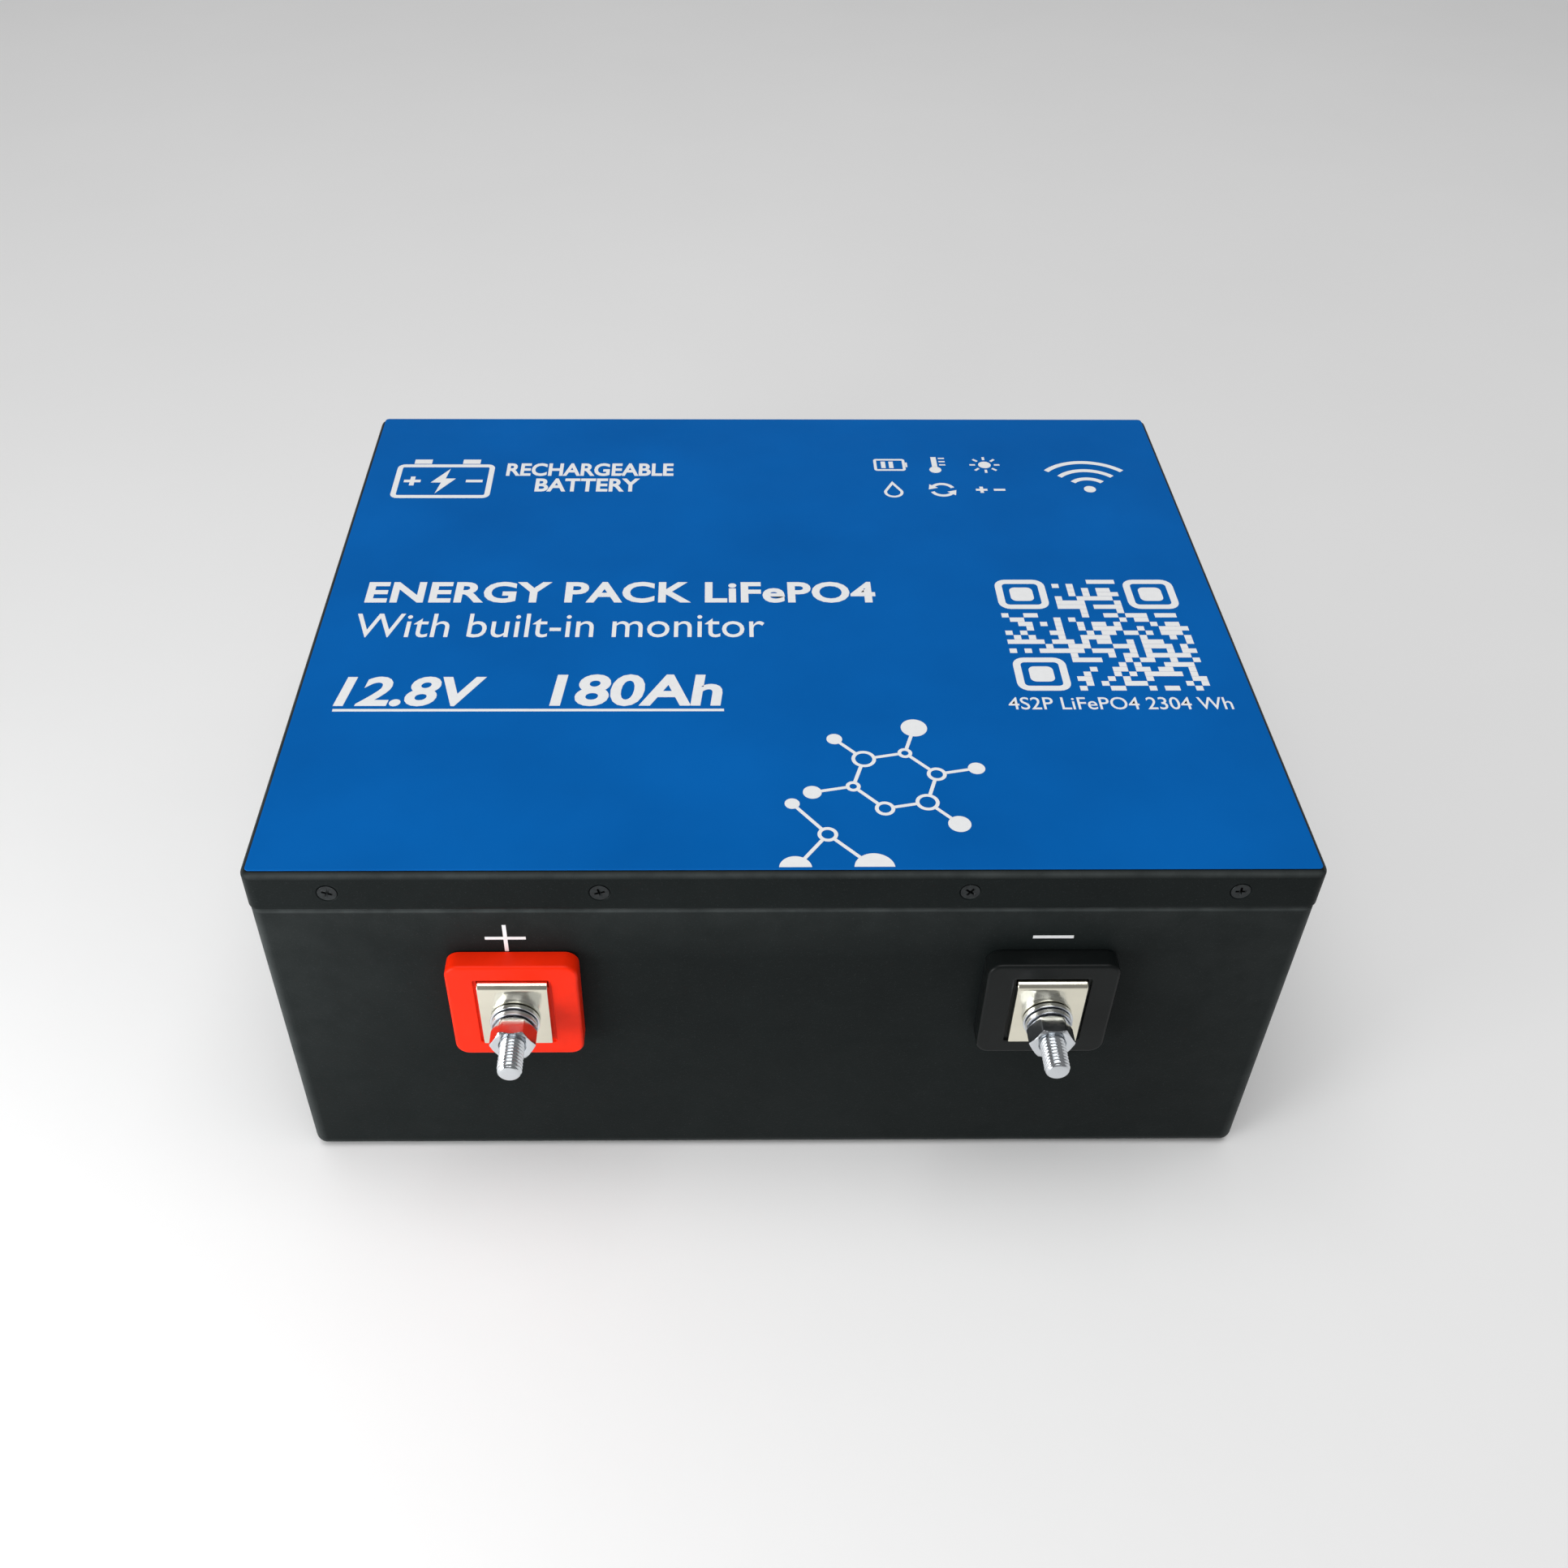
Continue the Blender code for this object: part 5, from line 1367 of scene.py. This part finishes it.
def shrink_film():
    """Blue film: gloss, soft lengthwise wrinkles and a slow drift in the colour."""
    finish = Finish("cell_shrink_film", paint(24, 86, 168), 0.0, 0.3)
    finish.cloud(finish.noise(40.0, vector=finish.stretched((1, 0.15, 1))), paint(18, 74, 150),
                 paint(32, 98, 182))
    finish.gloss(200.0, 0.22, 0.4)
    finish.bump(finish.noise(160.0, vector=finish.stretched((1, 0.08, 1))), 0.0003, strength=0.4)
    return finish


# %% Cells
WRAP = shrink_film()
ALUMINIUM = plated("brushed_aluminium", paint(216, 217, 219), 0.3, (200, 1500, 200))
for number in range(1, 9):
    node = f"cell_{number}"
    low, high = node_box(node)
    x, _, z = (low + high) / 2
    front = low[1] + POST_HEIGHT
    add_piece(node + "_can", can_surface(low, high, front), WRAP, "cell_wrap", stands_for=(node,))
    terminals = [facing_front(grid_surface(turned(profile, turn_angles(48))), x, front, z + rise)
                 for profile, rise in ((POST, -POST_REACH), (POST, POST_REACH), (VENT, 0))]
    add_piece(node + "_posts", joined(terminals), ALUMINIUM, "cell_wrap")

# %% [markdown]
# ### Welded busbars
# Copper plates join the posts, two cells to two. Each has a ring of weld round every sight hole.
# The CAD plates have the right outline and holes, so they stay; they get a rolled copper finish,
# and the weld beads are small turned rings on top.

# %% Copper
COPPER = plated("rolled_copper", paint(205, 128, 88), 0.3, (60, 900, 900))
SOLDER = plated("weld_bead", paint(150, 140, 134), 0.42, (900, 900, 900), scratch=0.00006)
LINKS = ["positive_cell_busbar", "series_busbar_1", "series_busbar_2", "series_busbar_3",
         "negative_cell_busbar"]
cell_middles = [middle(f"cell_{number}")[0] for number in range(1, 9)]
BEAD = np.array([(3.6, 0.0), (4.7, 0.0), (4.55, 0.18), (4.15, 0.28), (3.75, 0.18)]) * MM
for node in LINKS:
    low, high = node_box(node)
    carry_finish(node, COPPER)
    spots = [x for x in cell_middles if low[0] < x < high[0]]
    beads = [facing_front(turned_ring(BEAD, 40), x, low[1], (low[2] + high[2]) / 2) for x in spots]
    add_piece(node + "_welds", joined(beads), SOLDER, "copper_links")

# %% [markdown]
# ### Boards
# The separators and the mounting board are glass-fibre sheet: pale green-yellow with the weave of
# the cloth showing through. Two crossed waves in the material stand for the threads.

# %% Fibre board
def woven_glass():
    """Two sine waves at right angles, multiplied: the crossings of the glass threads."""
    finish = basic_finish("glass_fibre_sheet", paint(168, 180, 122), 0.0, 0.5, mottle=0.07,
                          patch=50.0, gloss=0.06, grain=1800.0, depth=0.00001)
    threads = [finish.node("TexWave", {"Scale": 220.0, "Vector": finish.place},
                           bands_direction=axis).outputs["Fac"] for axis in ("X", "Z")]
    finish.bump(finish.product(*threads), 0.00004, strength=0.7)
    return finish


FIBRE = woven_glass()
for node in ("separator_1", "separator_2", "separator_3", "bms_mounting_board"):
    carry_finish(node, FIBRE)

# %% [markdown]
# ### Circuit board
# The board switches the pack off when a cell is too full, too empty or too hot. The CAD board
# carries blocks for the transistor rows and the solder pads. On them sit the parts a maker would
# solder on: black transistor bodies with tinned legs and small chips.

# %% Lacquer and resin
def solder_mask():
    """Green lacquer over copper: broad darker traces from a stretched noise and a gloss."""
    finish = Finish("green_solder_mask", paint(20, 96, 58), 0.0, 0.3)
    traces = finish.noise(90.0, detail=0.0, vector=finish.stretched((1, 1, 0.25)))
    finish.cloud(traces, paint(14, 78, 46), paint(28, 112, 70), 0.46, 0.52)
    finish.gloss(300.0, 0.22, 0.36)
    finish.bump(traces, 0.00004)
    return finish


MASK = solder_mask()
RESIN = basic_finish("chip_resin", paint(34, 35, 37), 0.0, 0.45, mottle=0.1, patch=500.0,
                     gloss=0.05, grain=5000.0, depth=0.00001)
for node in ("bms_board", "wireless_module"):
    carry_finish(node, MASK)


def soft_block(low, high, edge):
    """A box whose four long edges and both end faces are softened: four rounded rectangles."""
    centre, half = (np.array(low) + high) / 2, (np.array(high) - low) / 2
    rings = [rectangle_ring(half[0] - inset, half[2] - inset, edge, arc_points=4)
             for inset in (edge * 0.4, 0, 0, edge * 0.4)]
    heights = [-half[1], -half[1] + edge * 0.4, half[1] - edge * 0.4, half[1]]
    return facing_front(grid_surface(stacked(rings, heights)), *centre)


# %% Chips and legs
board_low, board_high = node_box("bms_board")
sink_low, sink_high = node_box("bms_heatsink")
module_low = node_box("wireless_module")[0]
mask_front = board_high[1] - 1.6 * MM
CHIP_EDGE = 0.3 * MM
chips, legs = [], []
for x in np.linspace(sink_low[0] + 4 * MM, sink_high[0] - 4 * MM, 10):
    for z in (sink_low[2] - 6.5 * MM, sink_high[2] + 3.0 * MM):
        spot = np.array((x, mask_front, z))
        chips.append(soft_block(spot + np.array((-2.1, -2.2, 0)) * MM,
                                spot + np.array((2.1, 0, 3.5)) * MM, CHIP_EDGE))
        for leg_x in (-1.3, 0.0, 1.3):
            legs.append(soft_block(spot + np.array((leg_x - 0.25, -0.5, -1.1)) * MM,
                                   spot + np.array((leg_x + 0.25, -0.1, -0.05)) * MM, 0.08 * MM))
for x, rise, width, height in ((-24, 2, 7, 7), (2, 2, 9, 6), (20, 2, 5, 5)):
    low = np.array((x * MM, mask_front - 1.4 * MM, board_low[2] + rise * MM))
    chips.append(soft_block(low, low + np.array((width, 1.4, height)) * MM, CHIP_EDGE))
chips.append(soft_block(module_low + np.array((3, -1, 3)) * MM,
                        module_low + np.array((12, 0, 11)) * MM, CHIP_EDGE))
add_piece("board_chips", joined(chips), RESIN, "circuit_board")
add_piece("board_legs", joined(legs), SOLDER, "circuit_board")

# %% Heatsink and plug
ANODISED = plated("extruded_aluminium", paint(176, 179, 184), 0.36, (900, 900, 30), scratch=0.00003)
carry_finish("bms_heatsink", ANODISED)
NYLON = basic_finish("white_nylon", paint(232, 230, 220), 0.0, 0.42, mottle=0.03, patch=200.0,
                     gloss=0.05, grain=2500.0, depth=0.00001)
carry_finish("sense_plug", NYLON)
plug_low, plug_high = node_box("sense_plug")
pins = [soft_block((x - 0.4 * MM, plug_low[1] - 0.4 * MM, plug_low[2] + 2.5 * MM),
                   (x + 0.4 * MM, plug_low[1] - 0.02 * MM, plug_high[2] - 2.5 * MM), 0.1 * MM)
        for x in np.linspace(plug_low[0] + 2 * MM, plug_high[0] - 2 * MM, 6)]
add_piece("sense_plug_contacts", joined(pins), SOLDER, "white_nylon")

# %% [markdown]
# ### Cables
# The leads are silicone cable: soft, matt and round. They run between fixed ends inside the case,
# so their routes are the CAD's own: a short straight piece at each end and a cubic curve between.
# A circle is carried along the curve on a frame that never twists, because its side direction is
# worked out from one fixed axis.

# %% A cable's path and skin
def eased_run(start, leave, end, arrive, stub=2.0 * MM, count=60):
    """Straight stub, cubic Bezier and straight stub; leave and arrive set the curve's handles."""
    start, leave, end, arrive = (np.array(v, float) for v in (start, leave, end, arrive))
    a = start + leave / np.linalg.norm(leave) * stub
    d = end - arrive / np.linalg.norm(arrive) * stub
    t = np.linspace(0, 1, count)[:, None]
    u = 1 - t
    curve = u ** 3 * a + 3 * u * u * t * (a + leave) + 3 * u * t * t * (d - arrive) + t ** 3 * d
    return np.concatenate([[start], curve, [end]])


def cable_surface(path, radius):
    """Circle of side s and lift n round each point: path + radius (cos a s + sin a n)."""
    tangent = np.gradient(path, axis=0)
    tangent /= np.linalg.norm(tangent, axis=1, keepdims=True)
    side = np.cross(tangent, (0.12, 0.08, 1.0))
    side /= np.linalg.norm(side, axis=1, keepdims=True)
    lift = np.cross(side, tangent)
    cosine, sine = ways(turn_angles(24)).T
    ring = cosine[:, None] * side[:, None] + sine[:, None] * lift[:, None]
    return grid_surface(path[:, None] + radius * ring)


def silicone(name, colour):
    """Matt jacket with a slight bloom."""
    finish = basic_finish(name, colour, 0.0, 0.62, mottle=0.08, patch=250.0, grain=3000.0)
    finish.set("Sheen Weight", 0.25)
    return finish


# %% Cables
RED_JACKET = silicone("red_silicone", paint(186, 26, 22))
BLACK_JACKET = silicone("black_silicone", paint(34, 34, 36))
LEAD_RADIUS, HARNESS_RADIUS = 4.0 * MM, 1.6 * MM
strip_high = node_box("positive_busbar")[1]
link_y = node_box("series_busbar_1")[0][1] - FIT
upper_z = middle("positive_cell_busbar")[2]
leg_end, leg_z = strip_high[1] + FIT, strip_high[2] - STRIP / 2
near_left = cell_middles[0] + 10.0 * MM
reach = (link_y - leg_end) / 2
mount_left = node_box("bms_mounting_board")[0][0]
pad = np.array((board_high[0] + FIT, mask_front - 4.0 * MM - FIT,
                (board_low[2] + board_high[2]) / 2))
pad_rise = np.array((0, 0, 14 * MM))
plug_side = (plug_low[0] - FIT, *((plug_low + plug_high) / 2)[1:])
RUNS = (
    ("positive_cable", LEAD_RADIUS, RED_JACKET, "red_silicone",
     (near_left, link_y, upper_z), (0, -reach, 0), (terminal_x[0], leg_end, leg_z), (0, -reach, 0)),
    ("negative_cell_cable", LEAD_RADIUS, BLACK_JACKET, "black_silicone",
     pad + pad_rise, (reach, 0, 0), (-near_left, link_y, upper_z), (0, reach / 2, 0)),
    ("negative_output_cable", LEAD_RADIUS, BLACK_JACKET, "black_silicone",
     pad - pad_rise, (reach, 0, 0), (terminal_x[1], leg_end, leg_z), (0, -reach / 2, 0)),
    ("sense_harness", HARNESS_RADIUS, BLACK_JACKET, "black_silicone",
     plug_side, (mount_left, 0, 0), (cell_middles[1], link_y, upper_z), (0, 8 * MM, 0)),
)
for node, radius, finish, slot, *route in RUNS:
    path = eased_run(*route)
    add_piece(node + "_jacket", cable_surface(path, radius), finish, slot, stands_for=(node,))
    print(f"  {node}: {np.linalg.norm(np.diff(path, axis=0), axis=1).sum() / MM:.0f} mm long")

# %% [markdown]
# ### Foam pads and straps
# Foam pads hold the cells clear of the steel. Real foam that is squeezed between two flat faces
# stays flat there and bulges a little at its free edges, so each pad is a slab whose edge bows
# out between two flat faces. The straps are woven bands with rounded corners where they turn.

# %% Foam pads
def closed_cell_foam():
    """Small closed bubbles: a cell pattern in the bump, and painted shade darkening its pits in the
    colour.
    """
    finish = Finish("closed_cell_foam", paint(46, 47, 49), 0.0, 0.85)
    bubbles = finish.node("TexVoronoi", {"Scale": 900.0, "Vector": finish.place})
    distance = bubbles.outputs["Distance"]
    # Painted shade: the colour is darkest at each bubble's middle, where the bump makes a pit.
    finish.cloud(distance, paint(34, 35, 37), paint(60, 61, 63), 0.1, 0.6)
    finish.gloss(60.0, 0.8, 0.92)
    finish.bump(distance, 0.0002, strength=0.6)
    finish.set("Sheen Weight", 0.2)
    return finish


FOAM = closed_cell_foam()


def pad_surface(low, high):
    """Rounded rectangles through the thin axis; the outline swells by sin(180 degrees x depth)."""
    size = high - low
    thin = int(np.argmin(size))
    wide = [axis for axis in range(3) if axis != thin]
    depth = np.linspace(0, 1, 9)
    swell = min(0.25 * MM, size[thin] * 0.12) * (np.sin(np.pi * depth) - 1)
    rings = [rectangle_ring(*(size[wide] / 2 + s), 1.5 * MM) for s in swell]
    points, faces = grid_surface(stacked(rings, (depth - 0.5) * size[thin]))
    turned_points = np.empty_like(points)
    turned_points[:, [*wide, thin]] = points
    return turned_points + (low + high) / 2, faces


for node in ("bottom_pad", "top_pad", "left_pad", "right_pad", "back_pad"):
    pad_piece = add_piece(node + "_foam", pad_surface(*node_box(node)), FOAM, "foam",
                          stands_for=(node,))

# %% Straps
BAND = 0.5 * MM
SOFT = 0.1 * MM


def webbing():
    """Black polyester band: a fine diagonal twill in the bump and a dull sheen."""
    finish = basic_finish("strap_webbing", paint(40, 41, 44), 0.0, 0.6, mottle=0.1, patch=200.0,
                          gloss=0.05, grain=2500.0, depth=0.00001)
    twill = finish.node("TexWave", {"Scale": 300.0, "Vector": finish.place},
                        bands_direction="DIAGONAL")
    finish.bump(twill.outputs["Fac"], 0.00006, strength=0.8)
    finish.set("Sheen Weight", 0.3)
    return finish


def strap_surface(low, high):
    """A flat band round a rounded rectangle in x and z: outer and inner line, front and back."""
    centre, half = (low + high) / 2, (high - low) / 2
    lines = ((BAND, 1.1 * MM), (SOFT, 1.5 * MM), (0, 1.6 * MM))
    inner, shoulder, outer = [rectangle_ring(half[0] - inset, half[2] - inset, corner)
                              for inset, corner in lines]
    rings = [inner, shoulder, outer, outer, shoulder, inner]
    heights = [-half[1], -half[1], SOFT - half[1], half[1] - SOFT, half[1], half[1]]
    return facing_front(grid_surface(stacked(rings, heights), ends="looped"), *centre)


WEBBING = webbing()
for node in ("strap_1", "strap_2"):
    add_piece(node + "_band", strap_surface(*node_box(node)), WEBBING, "strap_band",
              stands_for=(node,))
print(f"{len(made)} pieces, {sum(made.values())} triangles")
